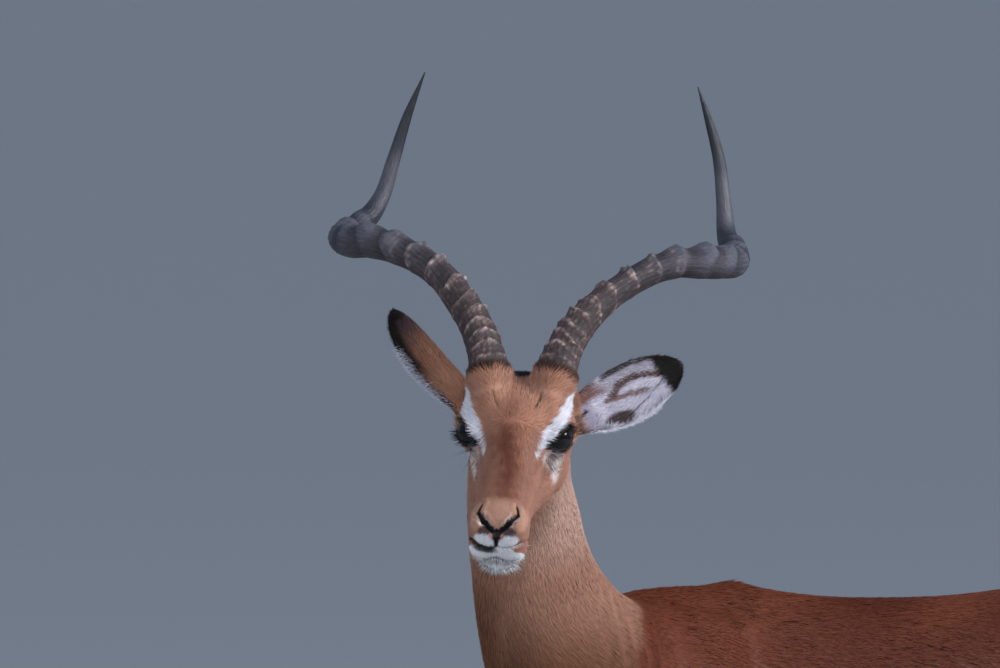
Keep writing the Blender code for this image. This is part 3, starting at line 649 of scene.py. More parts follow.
# Hair and bare skin.
TAN, LIT_TAN, RED_BROWN, RUFOUS, DEEP_RUFOUS = "#9E6E58", "#B38B75", "#653C30", "#5E2F1E", "#431E12"
NECK_TAN, DARK_AND_SHADED_TAN, FAWN, WHITE, BLACK = "#946C5A", "#633F2C", "#8C6248", "#DFDFE6", "#14110F"
STRIPES = (
    (0.0535, 0.0300, 0.0245), (0.0515, 0.0130, 0.0235), (0.0472, -0.0026, 0.0210),
    (0.0400, -0.0130, 0.0177), (0.0335, -0.0221, 0.0096), (0.0290, -0.0370, 0.0050),
    (0.0270, -0.0500, 0.0035),
)  # the white one from each ear's root over the eye
BLAZE = (
    (-0.0020, 0.0050, 0.0380), (-0.0040, -0.0240, 0.0260), (-0.0030, -0.0400, 0.0180),
    (0.0010, -0.0600, 0.0128), (0.0040, -0.0800, 0.0075), (0.0030, -0.1010, 0.0020),
    (0.0050, -0.1170, -0.0010),
)
UNDER_EYE = ((0.0425, -0.0290, -0.0090), (0.0465, -0.0170, -0.0240), (0.0450, -0.0060, -0.0450))
NOSE_SIDE_SHADE = (
    (0.0360, -0.0270, 0.0010), (0.0322, -0.0430, -0.0045), (0.0275, -0.0680, -0.0020),
    (0.0255, -0.0880, -0.0040), (0.0265, -0.1050, -0.0090),
)


def wander(points, size, seed=0.0):
    """A soft uneven number between -1 and 1 that changes over about that size."""
    x, y, z = (points / size * 2.1 + seed).T
    a = np.sin(x * 1.7 + 1.3 * np.sin(y * 1.1 + seed)) + np.sin(y * 1.9 + 1.7 * np.sin(z * 1.3))
    b = np.sin(z * 1.6 + 1.5 * np.sin(x * 1.2 - seed))
    return (a + b + np.sin((x + y - z) * 2.3)) / 4


def lay(colours, tint, share):
    """Lays a tint over colours, by its share at each place."""
    colours += (linear(tint) - colours) * np.clip(share, 0, 1)[:, None]


def body_colours(points, normals):
    """Red saddle, fawn flanks and legs, white belly and rump, black rump stripes and hind tufts."""
    x, y, z = points.T
    ragged = 0.006 * wander(points, 0.030) + 0.003 * wander(points, 0.009, 2.0)
    colours = np.tile(linear(RUFOUS), (len(points), 1))
    # The saddle darkens towards the rump: partly its own deeper red, partly painted shade.
    lay(colours, DEEP_RUFOUS, 0.75 * soft(y, -0.28, 0.02))
    lay(colours, "#6E3B2A", 0.5 * soft(wander(points, 0.16, 5.0), 0.1, 0.9))
    hem = 0.700 - 0.030 * hump(y, -0.05, 0.16) + 0.022 * soft(y, 0.20, 0.42) + ragged
    hem = np.where(y > 0.43, hem + (y - 0.43) * 1.2, hem)
    lay(colours, FAWN, 1 - soft(z, hem - 0.016, hem + 0.018))
    belly = 0.556 + 0.055 * soft(y, 0.05, 0.33) + 0.030 * (1 - soft(y, -0.30, -0.18)) + ragged
    under = (1 - soft(z, belly - 0.008, belly + 0.008)) * soft(-normals[:, 2], 0.12, 0.45)
    groin = 1 - soft(y, 0.18, 0.26) * (1 - soft(z, 0.545, 0.575)) * soft(np.abs(x), 0.02, 0.04)
    lay(colours, WHITE, under * (z > 0.47) * groin)
    leg = 1 - soft(z, 0.50, 0.60)
    inner = soft(-np.sign(x) * normals[:, 0], 0.10, 0.55) * (np.abs(x) > 0.004)
    lay(colours, "#CDC2B8", 0.8 * inner * (1 - soft(z, 0.62, 0.70)) * soft(z, 0.05, 0.30))
    lay(colours, "#7C5640", 0.5 * leg * soft(-normals[:, 1], 0.2, 0.9) * (1 - inner))
    rear = soft(y, 0.30, 0.40)
    thigh = rear * inner * (1 - soft(z, 0.74, 0.80)) * (0.25 + 0.75 * soft(z, 0.36, 0.52))
    lay(colours, WHITE, thigh * soft(z, 0.06, 0.3))
    buttock = soft(normals[:, 1], 0.15, 0.6) * rear * soft(z, 0.52, 0.62) * (1 - soft(z, 0.835, 0.85))
    lay(colours, WHITE, buttock * (1 - soft(np.abs(x), 0.045, 0.055)))
    line = np.abs(np.abs(x) - (0.056 + 0.010 * soft(z, 0.62, 0.80)) - 0.4 * ragged)
    band = (1 - soft(line, 0.007, 0.011)) * soft(y, 0.33, 0.37) * soft(normals[:, 1], 0.05, 0.3)
    lay(colours, BLACK, band * soft(z, 0.63, 0.67) * (1 - soft(z, 0.815, 0.84)))
    away, share = along_line(points, TAIL_ROWS)
    tail = (y > 0.493) * (away < 0.035)
    lay(colours, WHITE, tail * 1.0)
    crown = tail * soft(normals[:, 1], 0.35, 0.8) * (1 - soft(np.abs(x), 0.004, 0.007)) * soft(z, 0.58, 0.66)
    lay(colours, RUFOUS, tail * soft(z, 0.76, 0.80) * soft(normals[:, 1], -0.2, 0.2))
    lay(colours, BLACK, crown)
    for side in (LEFT, RIGHT):
        heel = leg_rows("hind", side)[HEEL]
        tuft = within(points, (heel[0], heel[1] + 0.014, 0.150), (0.024, 0.016, 0.040))
        lay(colours, BLACK, 1 - soft(tuft, 0.75, 1.05))
    lay(colours, "#4A3226", 0.8 * (1 - soft(z, 0.034, 0.044)))
    return colours


def head_colours(head, facing):
    """Tan face with a red-brown blaze, white brows, lips, chin and throat, black nostrils, lids and poll."""
    x, y, z = head.T
    half = mirrored(head)
    ragged = 0.0020 * wander(head, 0.010) + 0.0008 * wander(head, 0.003, 3.0)
    colours = np.tile(linear(TAN), (len(head), 1))
    # Painted light: the upward-facing crown is lighter.
    lay(colours, LIT_TAN, 0.30 * soft(facing[:, 2], 0.3, 0.9) * soft(y, -0.02, 0.01))
    # Painted shade: the sides of the face, which face sideways, are darker and greyer.
    lay(colours, "#8F6B5E", 0.6 * soft(facing[:, 0], 0.3, 0.8) + 0.6 * soft(-facing[:, 0], 0.3, 0.8))
    away, share = along_line(head, BLAZE)
    width = 0.0045 + 0.0085 * soft(share, 0.0, 0.35) - 0.002 * soft(share, 0.6, 1.0)
    blaze = (1 - soft(away + 1.5 * ragged, 0.0, width * 1.7)) * (0.25 + 0.75 * soft(share, 0.05, 0.35))
    lay(colours, RED_BROWN, soft(z, -0.030, -0.010) * blaze * (1 - 0.15 * soft(share, 0.75, 1.0)))
    # Painted shade down each side of the nose, from the inner corner of the eye along the ridge of the face.
    away, share = along_line(half, NOSE_SIDE_SHADE)
    deep = 0.55 - 0.35 * soft(share, 0.15, 0.6)
    lay(colours, "#74493A", deep * (1 - soft(away + ragged, 0.0018, 0.0070)))
    lay(colours, "#B78F7A", 0.75 * (soft(-y, 0.116, 0.130) * soft(z, -0.024, -0.014)))
    away = along_line(half, UNDER_EYE)[0]
    lay(colours, "#CDC3C2", 0.85 * (1 - soft(away + ragged, 0.0062, 0.0140)))
    under = soft(-(z + 0.25 * (y + 0.02)), 0.066, 0.084) * soft(-facing[:, 2], 0.35, 0.85)
    lay(colours, "#CFC2B8", 0.75 * under)
    mouth, share = along_line(half, MOUTH)
    gape = np.interp(y, *np.array(GAPE).T) - 0.0065 * soft(x, 0.012, 0.021)
    lip = soft(-y, 0.085, 0.112) * (1 - soft(z + 0.6 * ragged, gape - 0.0008, gape + 0.0008))
    lay(colours, WHITE, lip)
    lay(colours, WHITE, 0.8 * (1 - soft(mouth, 0.0012, 0.0034)) * (1 - soft(share, 0.28, 0.40)))
    tilted = half - np.stack([0 * x, 0 * x, 0.28 * (half[:, 0] - 0.0118)], axis=1)
    away = within(tilted, (0.0118, -0.1600, -0.0283), (0.0100, 0.02, 0.0082))
    lay(colours, WHITE, (1 - soft(away + 25 * ragged, 0.8, 1.12)) * (y < -0.12))
    edge = within(head, (-0.001, -0.152, -0.0535), (0.0085, 0.02, 0.0055))
    lay(colours, "#4E4B4A", 0.8 * (1 - soft(edge + 40 * ragged, 0.5, 1.3)) * (y < -0.12))
    # Painted shade in the opening of the mouth on the ram's right, under the upper lip.
    edge = within(head, (-0.0120, -0.160, -0.0388), (0.0135, 0.02, 0.0052))
    lay(colours, "#2A2528", 0.92 * (1 - soft(edge + 30 * ragged, 0.6, 1.25)) * (y < -0.12) * lip)
    away, share = along_line(half, STRIPES)
    width = 0.0078 - 0.0018 * soft(share, 0.4, 0.75) - 0.0038 * soft(share, 0.75, 1.0)
    lay(colours, "#C6C6CE", 1 - soft(away + ragged, width * 0.72, width * 1.12))
    for side in (LEFT, RIGHT):
        eye = placed(head, HEAD.inverted() @ gaze(side))
        rim = almond(eye)
        front = eye[:, 2] > -0.002
        lay(colours, BLACK, front * (1 - soft(rim, 1.34, 1.62)))
        corner = within(half, (0.0375, -0.0245, 0.0040), (0.0050, 0.0065, 0.0055))
        lay(colours, BLACK, 1 - soft(corner, 0.8, 1.2))
    under = within(half, (0.0435, -0.0215, -0.0060), (0.0105, 0.0085, 0.0080))
    lay(colours, "#5A565D", 0.85 * (1 - soft(under + 40 * ragged, 0.55, 1.2)))
    poll = within(head, (0, 0.056, 0.040), (0.013, 0.016, 0.02))
    lay(colours, BLACK, 1 - soft(poll + 60 * ragged, 0.7, 1.15))
    socket = within(half, (0.056, 0.062, 0.012), (0.016, 0.026, 0.022))
    lay(colours, "#6A4A3D", 0.75 * (1 - soft(socket + 40 * ragged, 0.7, 1.3)))
    # Painted shade in the creases of the brow.
    for line in BROW_CREASES:
        lay(colours, "#2E1A13", 0.9 * (1 - soft(along_line(head, line)[0], 0.0008, 0.0024)))
    level = placed(head, HEAD.inverted() @ LEVEL)
    for side in (LEFT, RIGHT):
        foot, share = along_line(level, HORN_ROWS[side])
        dark = soft(share * HORN_LENGTH + 1.5 * ragged, 0.019, 0.025) * (1 - soft(foot, 0.024, 0.027))
        lay(colours, "#3A2A24", 0.9 * dark)
    away, share = along_line(half, NOSTRIL)
    hollow = within(half, NOSE_HOLLOW[0], NOSE_HOLLOW[1])
    lay(colours, "#463838", 0.9 * (1 - soft(hollow, 0.7, 1.15)) * (y < -0.13))
    inwards = soft(share, 0.25, 0.55)
    naked = 1 - soft(away, 0.0018 + 0.0018 * inwards, 0.0029 + 0.0021 * inwards)
    lay(colours, "#141217", naked * (y < -0.12))
    # Painted highlight: a pale rim along the upper edge of each nostril.
    edge = 1 - soft(np.abs(away - 0.0053 + 1.2 * ragged), 0.0004, 0.0014)
    lay(colours, "#C9B7AE", 0.7 * edge * soft(z, -0.0165, -0.0125) * soft(share, 0.30, 0.45) * (y < -0.13))
    away, share = along_line(half, PHILTRUM)
    lay(colours, "#141217", (1 - soft(away, 0.0046 - 0.0028 * share, 0.0060 - 0.0032 * share)) * (y < -0.12))
    # The dark line of the closed mouth is painted shade in the crease between the lips, drawn wider on the
    # ram's right, the side in shade.
    away, share = along_line(half, MOUTH)
    shaded_side_widening = 0.0013 * soft(-x, 0.0, 0.006)
    shut = (1 - soft(away, 0.0011 + shaded_side_widening, 0.0023 + shaded_side_widening)) * (y < -0.09)
    lay(colours, "#1B181B", shut * (1 - soft(share, 0.42, 0.65)))
    return colours


def ear_ways(side):
    """The way an ear points and the way its cup opens."""
    return [np.array(TURNED.to_3x3() @ way.normalized()) for way in EARS[side][1:]]


def ear_place(points, side):
    """Where points lie on an ear: share of its length, half widths across it, height over its middle."""
    root, along, opens = EARS[side]
    axis = along.normalized()
    rise = (opens - axis * opens.dot(axis)).normalized()
    across = axis.cross(rise)
    away = placed(points, LEVEL) - root
    share = away @ axis / EAR_LENGTH
    away = away - np.array(EAR_BOW[side]) * (1 - (2 * share - 1) ** 2)[:, None]
    rows = np.array(EAR_ROWS)
    half = np.interp(share, rows[:, 0], rows[:, 1]) * EAR_LENGTH
    return share, away @ across / half, away @ rise


EAR_STRIPES = (
    (((0.41, 0.16), (0.48, 0.40), (0.60, 0.48), (0.72, 0.32), (0.84, 0.04)), 0.028, "#432A22", 0.95),
    (((0.35, 0.10), (0.50, -0.04), (0.66, -0.22)), 0.021, "#5E423B", 0.85),
    (((0.47, -0.74), (0.62, -0.52), (0.78, -0.26)), 0.006, "#1F1A1D", 0.85),
)  # the bare stripes inside the cup: places along and across it, half width and colour


def ear_colours(points, normals, side):
    """Fawn back darkening to a black tip and edge; white hair with bare brown stripes inside the cup."""
    share, across, rise = ear_place(points, side)
    opens = ear_ways(side)[1]
    inside = soft(normals @ opens, -0.05, 0.25) * soft(share, 0.02, 0.12)
    ragged = 0.03 * wander(points, 0.010, 1.0)
    upper = across * (-1 if side == LEFT else 1)  # the edge that carries the black
    back = np.tile(linear("#9A6E58"), (len(points), 1))
    lay(back, "#7A5443", soft(share, 0.15, 0.55))
    lay(back, "#4E3A36", (1 - soft(share, 0.0, 0.12)) * soft(normals @ opens, -0.2, 0.3))
    lay(back, "#3A2C2E", soft(share + ragged, 0.50, 0.85))
    lay(back, BLACK, soft(share + ragged + 0.05 * upper, 0.84, 0.92))
    lay(back, BLACK, soft(upper + ragged, 0.68, 0.92) * soft(share, 0.30, 0.50))
    cup = np.tile(linear("#ACA8B6"), (len(points), 1))
    lay(cup, "#8A8694", 0.7 * soft(upper, 0.30, 0.62) * soft(share, 0.34, 0.48))
    flat = np.stack([share + 0.3 * ragged, 0.2 * upper + 0.2 * ragged, 0 * share], axis=1)
    for line, wide, tint, deep in EAR_STRIPES:
        away = along_line(flat, [(along, 0.2 * up, 0) for along, up in line])[0]
        lay(cup, tint, deep * (1 - soft(away, wide * 0.6, wide * 1.4)))
    low = np.hypot((share - 0.375) / 0.13, (upper + 0.74) / 0.30)
    lay(cup, "#33241F", 0.95 * (1 - soft(low + ragged, 0.7, 1.1)))
    lay(cup, "#716C7A", 0.85 * (1 - soft(share, 0.16, 0.30)))
    lay(cup, "#5A3427", 0.9 * soft(upper, 0.28, 0.55) * (1 - soft(share + 0.2 * upper, 0.40, 0.56)))
    # Painted shade: a black slit at the foot of the cup, where the ear opens inwards.
    slit = along_line(flat, ((0.0, -0.05, 0), (0.14, 0.01, 0)))[0]
    lay(cup, BLACK, 1 - soft(slit, 0.012, 0.028))
    lay(cup, BLACK, soft(share + 0.5 * ragged + 0.02 * upper, 0.775, 0.82))
    lay(cup, "#231B1A", 0.95 * soft(upper + ragged, 0.80, 0.92) * soft(share, 0.30, 0.40))
    return back + (cup - back) * inside[:, None]


def dyed_and_shaded(points, normals, ear=None):
    """The coat's colour at places of the skin, or of one ear, painted shade and light included."""
    if ear:
        return ear_colours(points, normals, ear)
    head = placed(points, HEAD)
    facing = normals @ np.array(HEAD.to_3x3().inverted()).T
    body = body_colours(points, normals)
    neck = np.tile(linear(NECK_TAN), (len(points), 1))
    low = soft(0.885 - points[:, 2], 0.0, 0.085)
    front = soft(-normals[:, 1] - 0.4 * normals[:, 0], 0.2, 0.9)
    # Painted light and shade: the neck is lighter high up, less so on its front, and darker low down and on
    # its front, which faces away from the light; the darkening is partly the coat's own darker tan.
    lay(neck, "#B29082", soft(points[:, 2], 0.89, 0.97) * (1 - 0.7 * front))
    lay(neck, DARK_AND_SHADED_TAN, np.maximum(low * 0.9, 0.9 * front * soft(0.95 - points[:, 2], 0, 0.10)))
    lay(neck, "#7E5A48", 0.35 * soft(wander(points, 0.05, 4.0), 0.2, 0.9))
    # Darker tan under the jaw: partly the coat's own colour, partly painted shadow of the head.
    throat = within(head, (0, 0.005, -0.105), (0.050, 0.060, 0.045))
    lay(neck, "#674636", 0.8 * (1 - soft(throat, 0.6, 1.5)))
    at = (points - (0.008, -0.330, 0.791)) @ np.array(Vector((0.10, -0.93, 0.35)).normalized())
    at = at + 0.008 * wander(points, 0.035, 1.0)
    reach = 0.008 + 0.05 * soft(0.78 - points[:, 2], 0.0, 0.10)
    share = soft(at, -reach, reach) * (points[:, 1] < -0.20) * soft(points[:, 2], 0.60, 0.66)
    colours = body + (neck - body) * share[:, None]
    near = (from_skull(head) < HEAD_REACH) * (1 - soft(past_jaw(points), -0.012, 0.012))
    return colours + (head_colours(head, facing) - colours) * near[:, None]


def ear(side):
    """One ear: a cupped leaf on a solid root."""
    root, along, opens = EARS[side]
    rows = []
    for share, half, cup, thick in EAR_ROWS:
        centre = root + along.normalized() * share * EAR_LENGTH + EAR_BOW[side] * (1 - (2 * share - 1) ** 2)
        rows.append((*centre, half * EAR_LENGTH, cup * EAR_LENGTH, thick * EAR_LENGTH))

    def outline(row, angle):
        half, cup, thick = row
        if math.sin(angle) <= 0:
            return half * math.cos(angle), cup * math.sin(angle)
        rim = min(0.0012, 0.2 * half)
        return (half - rim) * math.cos(angle), rim - (cup - thick) * math.sin(angle)

    bm = bmesh.new()
    loft(bm, rows, opens, 40, even(56), LEVEL, outline)
    bm.verts.index_update()
    # One order of faces in every run, since hair is strewn over them.
    bm.faces.sort(key=lambda face: 1e4 * min(v.index for v in face.verts) + max(v.index for v in face.verts))
    return bm


def node_with(material, name, kind, inputs=None, links=None, **settings):
    """Adds one shader node with its settings, input values and links."""
    made = material.node_tree.nodes.new("ShaderNode" + kind)
    made.label = name
    for key, value in settings.items():
        setattr(made, key, value)
    for key, value in (inputs or {}).items():
        made.inputs[key].default_value = value
    for key, source in (links or {}).items():
        material.node_tree.links.new(source, made.inputs[key])
    return made


def joined(material, *links):
    """Links outputs to inputs."""
    for source, target in links:
        material.node_tree.links.new(source, target)


def surface(name, **constants):
    """A material with its own Principled shader; constants go on the shader's sockets, colours as sRGB."""
    made = bpy.data.materials.new(name)
    made.use_nodes = True
    shader = made.node_tree.nodes["Principled BSDF"]
    for key, value in constants.items():
        value = (*linear(value), 1) if isinstance(value, str) else value
        shader.inputs[key.replace("_", " ")].default_value = value
    return made, shader


def finished(name, mesh, material, slot, *nodes, is_hair=False):
    """Shows a mesh, given in the tables' frame, as one piece on the ram's only body."""
    mesh.transform(Matrix.Translation(CENTRING))
    mesh.name = name
    mesh.shade_smooth()
    mesh.materials.clear()
    mesh.materials.append(material)
    obj = shown(name, mesh)
    if not is_hair:
        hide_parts(*nodes)
    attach(obj, "root")


def dye_and_shade(mesh, colours, fourth=1.0):
    """Gives a mesh its colours, with one more number beside them."""
    layer = mesh.color_attributes.new("hair", "FLOAT_COLOR", "POINT")
    fourth = np.broadcast_to(fourth, len(colours))[:, None]
    filled(layer.data, "color", np.hstack([colours, fourth]))


def finer(mesh, wanted):
    """Splits the faces around the chosen places and softens them."""
    chosen = wanted(read(mesh))
    bm = opened(mesh)
    edges = [edge for edge in bm.edges if chosen[edge.verts[0].index] and chosen[edge.verts[1].index]]
    bmesh.ops.subdivide_edges(bm, edges=edges, cuts=1, use_grid_fill=True, smooth=0.0)
    bmesh.ops.triangulate(bm, faces=[face for face in bm.faces if len(face.verts) > 3])
    mesh = new_mesh("finer", bm)
    chosen = wanted(read(mesh))
    bm = opened(mesh)
    softened(bm, [vert for vert in bm.verts if chosen[vert.index]], 2)
    return new_mesh("finer", bm)


def near_eyes(half, away):
    return np.linalg.norm(half - (0.052, -0.008, 0.004), axis=1) < away


def detailed(points):
    """True around the eyes, the nose and the mouth."""
    head = placed(points, HEAD)
    half = mirrored(head)
    return near_eyes(half, 0.030) | (head[:, 1] < -0.124) | (along_line(half, MOUTH)[0] < 0.008)


def very_detailed(points):
    """True at the lids, the nostrils and the front of the lips."""
    half = mirrored(placed(points, HEAD))
    nose, lips = along_line(half, NOSTRIL)[0], along_line(half, MOUTH[:5])[0]
    return near_eyes(half, 0.024) | (nose < 0.008) | (lips < 0.004)


skin_mesh = finer(finer(thinned(flesh(), 0.17), detailed), very_detailed)
points = read(skin_mesh)
write(skin_mesh, points - read(skin_mesh, normals=True) * coat_depth(points)[:, None])
# The colours, painted shade and light among them, are laid out before the folds are pressed in.
uncarved = read(skin_mesh), read(skin_mesh, normals=True)
write(skin_mesh, sculpted(*uncarved))
dye_and_shade(skin_mesh, dyed_and_shaded(*uncarved))
ear_meshes = {}
for side in (LEFT, RIGHT):
    mesh = new_mesh("ear", ear(side))
    write(mesh, read(mesh) - 0.0005 * read(mesh, normals=True))
    dye_and_shade(mesh, dyed_and_shaded(read(mesh), read(mesh, normals=True), side))
    ear_meshes[side] = mesh
bm = bmesh.new()
for mesh in (skin_mesh, *ear_meshes.values()):
    bm.from_mesh(mesh)
bmesh.ops.triangulate(bm, faces=[face for face in bm.faces if len(face.verts) > 4])
hide = bpy.data.meshes.new("hide")
bm.to_mesh(hide)
bm.free()

# Short-haired hide: matt, with a nap 0.8 mm across that catches light softly.
skin_look, shader = surface(
    "short_haired_hide", Roughness=0.62, Metallic=0.0, IOR=1.45, Specular_IOR_Level=0.25
)
tint = node_with(skin_look, "dye_and_shade", "Attribute", attribute_name="hair")
place = node_with(skin_look, "place", "TexCoord")
nap = node_with(
    skin_look, "nap", "TexNoise", {"Scale": 900.0, "Detail": 2.0}, {"Vector": place.outputs["Object"]}
)
lift = node_with(
    skin_look, "lift", "Bump", {"Strength": 0.35, "Distance": 0.0006}, {"Height": nap.outputs["Fac"]}
)
joined(
    skin_look, (tint.outputs["Color"], shader.inputs["Base Color"]),
    (lift.outputs["Normal"], shader.inputs["Normal"]),
)
finished(
    "skin", hide, skin_look, "fawn_coat",
    "trunk", "neck", "head", "tail", "ear_left", "ear_right",
    "foreleg_left", "foreleg_right", "hindleg_left", "hindleg_right",
)


# EYES. Large wet balls, so dark that iris and pupil read as one and the surface mirrors the sky. Each sits
# deep in its socket, and its cornea bulges a little in front.

# Wet cornea: clear gloss over near black, one colour all over.
eye_look, _ = surface("wet_cornea", Base_Color="#0D0B0E", Roughness=0.09, IOR=1.376, Specular_IOR_Level=0.30)
for side, word in SIDES:
    bm = bmesh.new()
    bmesh.ops.create_uvsphere(bm, u_segments=64, v_segments=40, radius=EYE_RADIUS)
    for vert in bm.verts:  # the cornea stands 0.9 mm proud
        out = vert.co.normalized()
        vert.co += out * 0.0009 * math.exp(-((1 - max(out.z, 0.0)) / 0.22) ** 2)
        if out.z < 0.1:
            vert.co *= 1 - 0.12 * min(1.0, 0.1 - out.z)
    bmesh.ops.transform(bm, matrix=gaze(side), verts=bm.verts)
    finished("eyeball_" + word, new_mesh("eyeball", bm), eye_look, "eye", "eye_" + word)

# LIDS. Bare black rims of thick skin round each eye, dull beside the wet ball. The upper one is heavier, and
# the inner corner runs out to the tear gland.

LID_RIM = 0.0009  # radius of the rim
lid_look, _ = surface(
    "bare_black_lid", Base_Color="#0D0B0D", Roughness=0.55, IOR=1.45, Specular_IOR_Level=0.25
)
for side, word in SIDES:
    bm = bmesh.new()
    upright = Matrix.Translation((10, 0, 0)) @ Matrix.Rotation(math.pi / 2, 4, "X")
    bmesh.ops.create_circle(bm, segments=10, radius=1, matrix=upright)
    around = {"axis": (0, 0, 1), "cent": (0, 0, 0), "angle": 2 * math.pi, "steps": 72, "use_merge": True}
    bmesh.ops.spin(bm, geom=bm.verts[:] + bm.edges[:], **around)
    for vert in bm.verts:
        angle = math.atan2(vert.co.y, vert.co.x)
        out, up = math.hypot(vert.co.x, vert.co.y) - 10, vert.co.z
        upper = max(math.sin(angle), 0.0)
        x = LID_OPENING[0] * math.cos(angle) * (1.07 if math.cos(angle) * side > 0 else 1.0)
        y = LID_OPENING[1] * math.sin(angle) * math.sqrt(max(1.15 - (x / 0.026) ** 2, 0.1))
        ball = math.sqrt(max(EYE_RADIUS**2 - x * x - y * y, 0.0))
        thick = LID_RIM * (1 + 0.6 * upper)
        grown = 1 + (thick * out) / math.hypot(x, y)
        vert.co = Vector((x * grown, y * grown, ball + 0.0006 + 0.0008 * upper + thick * up))
    bmesh.ops.transform(bm, matrix=gaze(side), verts=bm.verts)
    finished("lids_" + word, new_mesh("lids", bm), lid_look, "fawn_coat")

# HORNS. Lyre-shaped sheaths of keratin on a bone core, grown from the base: the lower two thirds carry knobby
# rings that drop off sharply towards the tip, over fibrous grooves; the last third is smooth and polished.

RING_DROP = 0.0045  # length of the sharp side


def horn(side):
    """One horn with its rings, each slanting to the front and uneven around the horn."""
    lengths = [*np.arange(0.0, 0.345, 0.0011), *np.linspace(0.345, HORN_LENGTH - 0.002, 60), HORN_LENGTH]
    rows = smooth_rows(HORN_ROWS[side], [length / HORN_LENGTH for length in lengths])
    rows = [(*row[:3], row[3], length) for row, length in zip(rows, lengths)]
    knots = np.concatenate([[0], np.cumsum(np.linalg.norm(np.diff(np.array(rows)[:, :3], axis=0), axis=1))])
    crests = [0.026, 0.036] + [crest for crest, _ in RINGS] + [0.352]
    heights = [0.0, 0.0011] + [height for _, height in RINGS] + [0.0]

    def ring(length, angle):
        """How far the rings stand out at a place along and around the horn."""
        front = 0.5 + 0.5 * math.sin(angle)
        slant = 0.0050 * math.sin(angle) + 0.0014 * math.sin(2 * angle + 1.0 + 40 * length)
        here = length - slant
        swell = 0.0
        for k in range(1, len(crests) - 1):
            crest = crests[k] + 0.0012 * math.sin(3 * angle + 5.0 * k) * (0.4 + front)
            outer = soft(crests[k], 0.17, 0.24)  # further out the rings are broad smooth swellings
            rise, drop = min(crest - crests[k - 1], 0.020), RING_DROP + 0.007 * outer
            if crest - rise < here <= crest:
                t = (here - crest + rise) / rise
                shape = t**5 + outer * (t * t * (3 - 2 * t) - t**5)
            elif crest < here < crest + drop:
                t = (here - crest) / drop
                shape = 1 - t * t * (3 - 2 * t)
            else:
                continue
            rough = 1 - 0.75 * soft(length, 0.16, 0.26)
            small = 0.35 * math.sin(5 * angle + 3.3 * k) + 0.20 * math.sin(11 * angle + k)
            knob = 1 + 0.30 * math.sin(2 * angle + 2.1 * k) + rough * small
            tall = heights[k] * (0.15 + 1.35 * front ** (2.2 - outer)) * (1 + 0.35 * outer)
            swell = max(swell, tall * shape * knob)
        return swell

    def outline(row, angle):
        length = row[1]
        grooved = 0.00034 * math.sin(19 * angle + 45 * length) * soft(0.40 - length, 0.0, 0.08)
        wobble = 0.0004 * math.sin(3 * angle + 31 * length) * soft(0.36 - length, 0.0, 0.05)
        radius = row[0] + ring(length, angle) + grooved + wobble
        return radius * math.cos(angle), radius * math.sin(angle)

    bm = bmesh.new()
    loft(bm, rows, Vector((0.0, -0.35, 0.94)), 52, knots / knots[-1], LEVEL, outline)
    return new_mesh("horn", bm)


# Horn sheath: grey-brown and dull below, with pale worn crests that also carry a painted highlight and
# painted shade in the grooves between the rings, polished blue-black above.
horn_look, shader = surface("keratin_sheath", Metallic=0.0, IOR=1.55, Specular_IOR_Level=0.32)
tint = node_with(horn_look, "wear_and_highlight", "Attribute", attribute_name="hair")
place = node_with(horn_look, "along and round", "Attribute", attribute_name="grain")
fibre = node_with(
    horn_look, "fibres", "TexNoise",
    {"Scale": 1.0, "Detail": 4.0, "Roughness": 0.6}, {"Vector": place.outputs["Vector"]},
)
tone = node_with(
    horn_look, "fibre tone", "MapRange",
    {"From Min": 0.3, "From Max": 0.7, "To Min": 0.55, "To Max": 1.45}, {"Value": fibre.outputs["Fac"]},
)
shade = node_with(horn_look, "toned", "VectorMath", links={0: tint.outputs["Color"]}, operation="SCALE")
gloss = node_with(
    horn_look, "gloss", "MapRange",
    {"From Min": 0.0, "From Max": 1.0, "To Min": 0.62, "To Max": 0.42}, {"Value": tint.outputs["Alpha"]},
)
lift = node_with(
    horn_look, "fibre lift", "Bump", {"Strength": 0.8, "Distance": 0.0011}, {"Height": fibre.outputs["Fac"]}
)
joined(
    horn_look, (tone.outputs["Result"], shade.inputs["Scale"]),
    (shade.outputs["Vector"], shader.inputs["Base Color"]),
    (gloss.outputs["Result"], shader.inputs["Roughness"]), (lift.outputs["Normal"], shader.inputs["Normal"]),
)
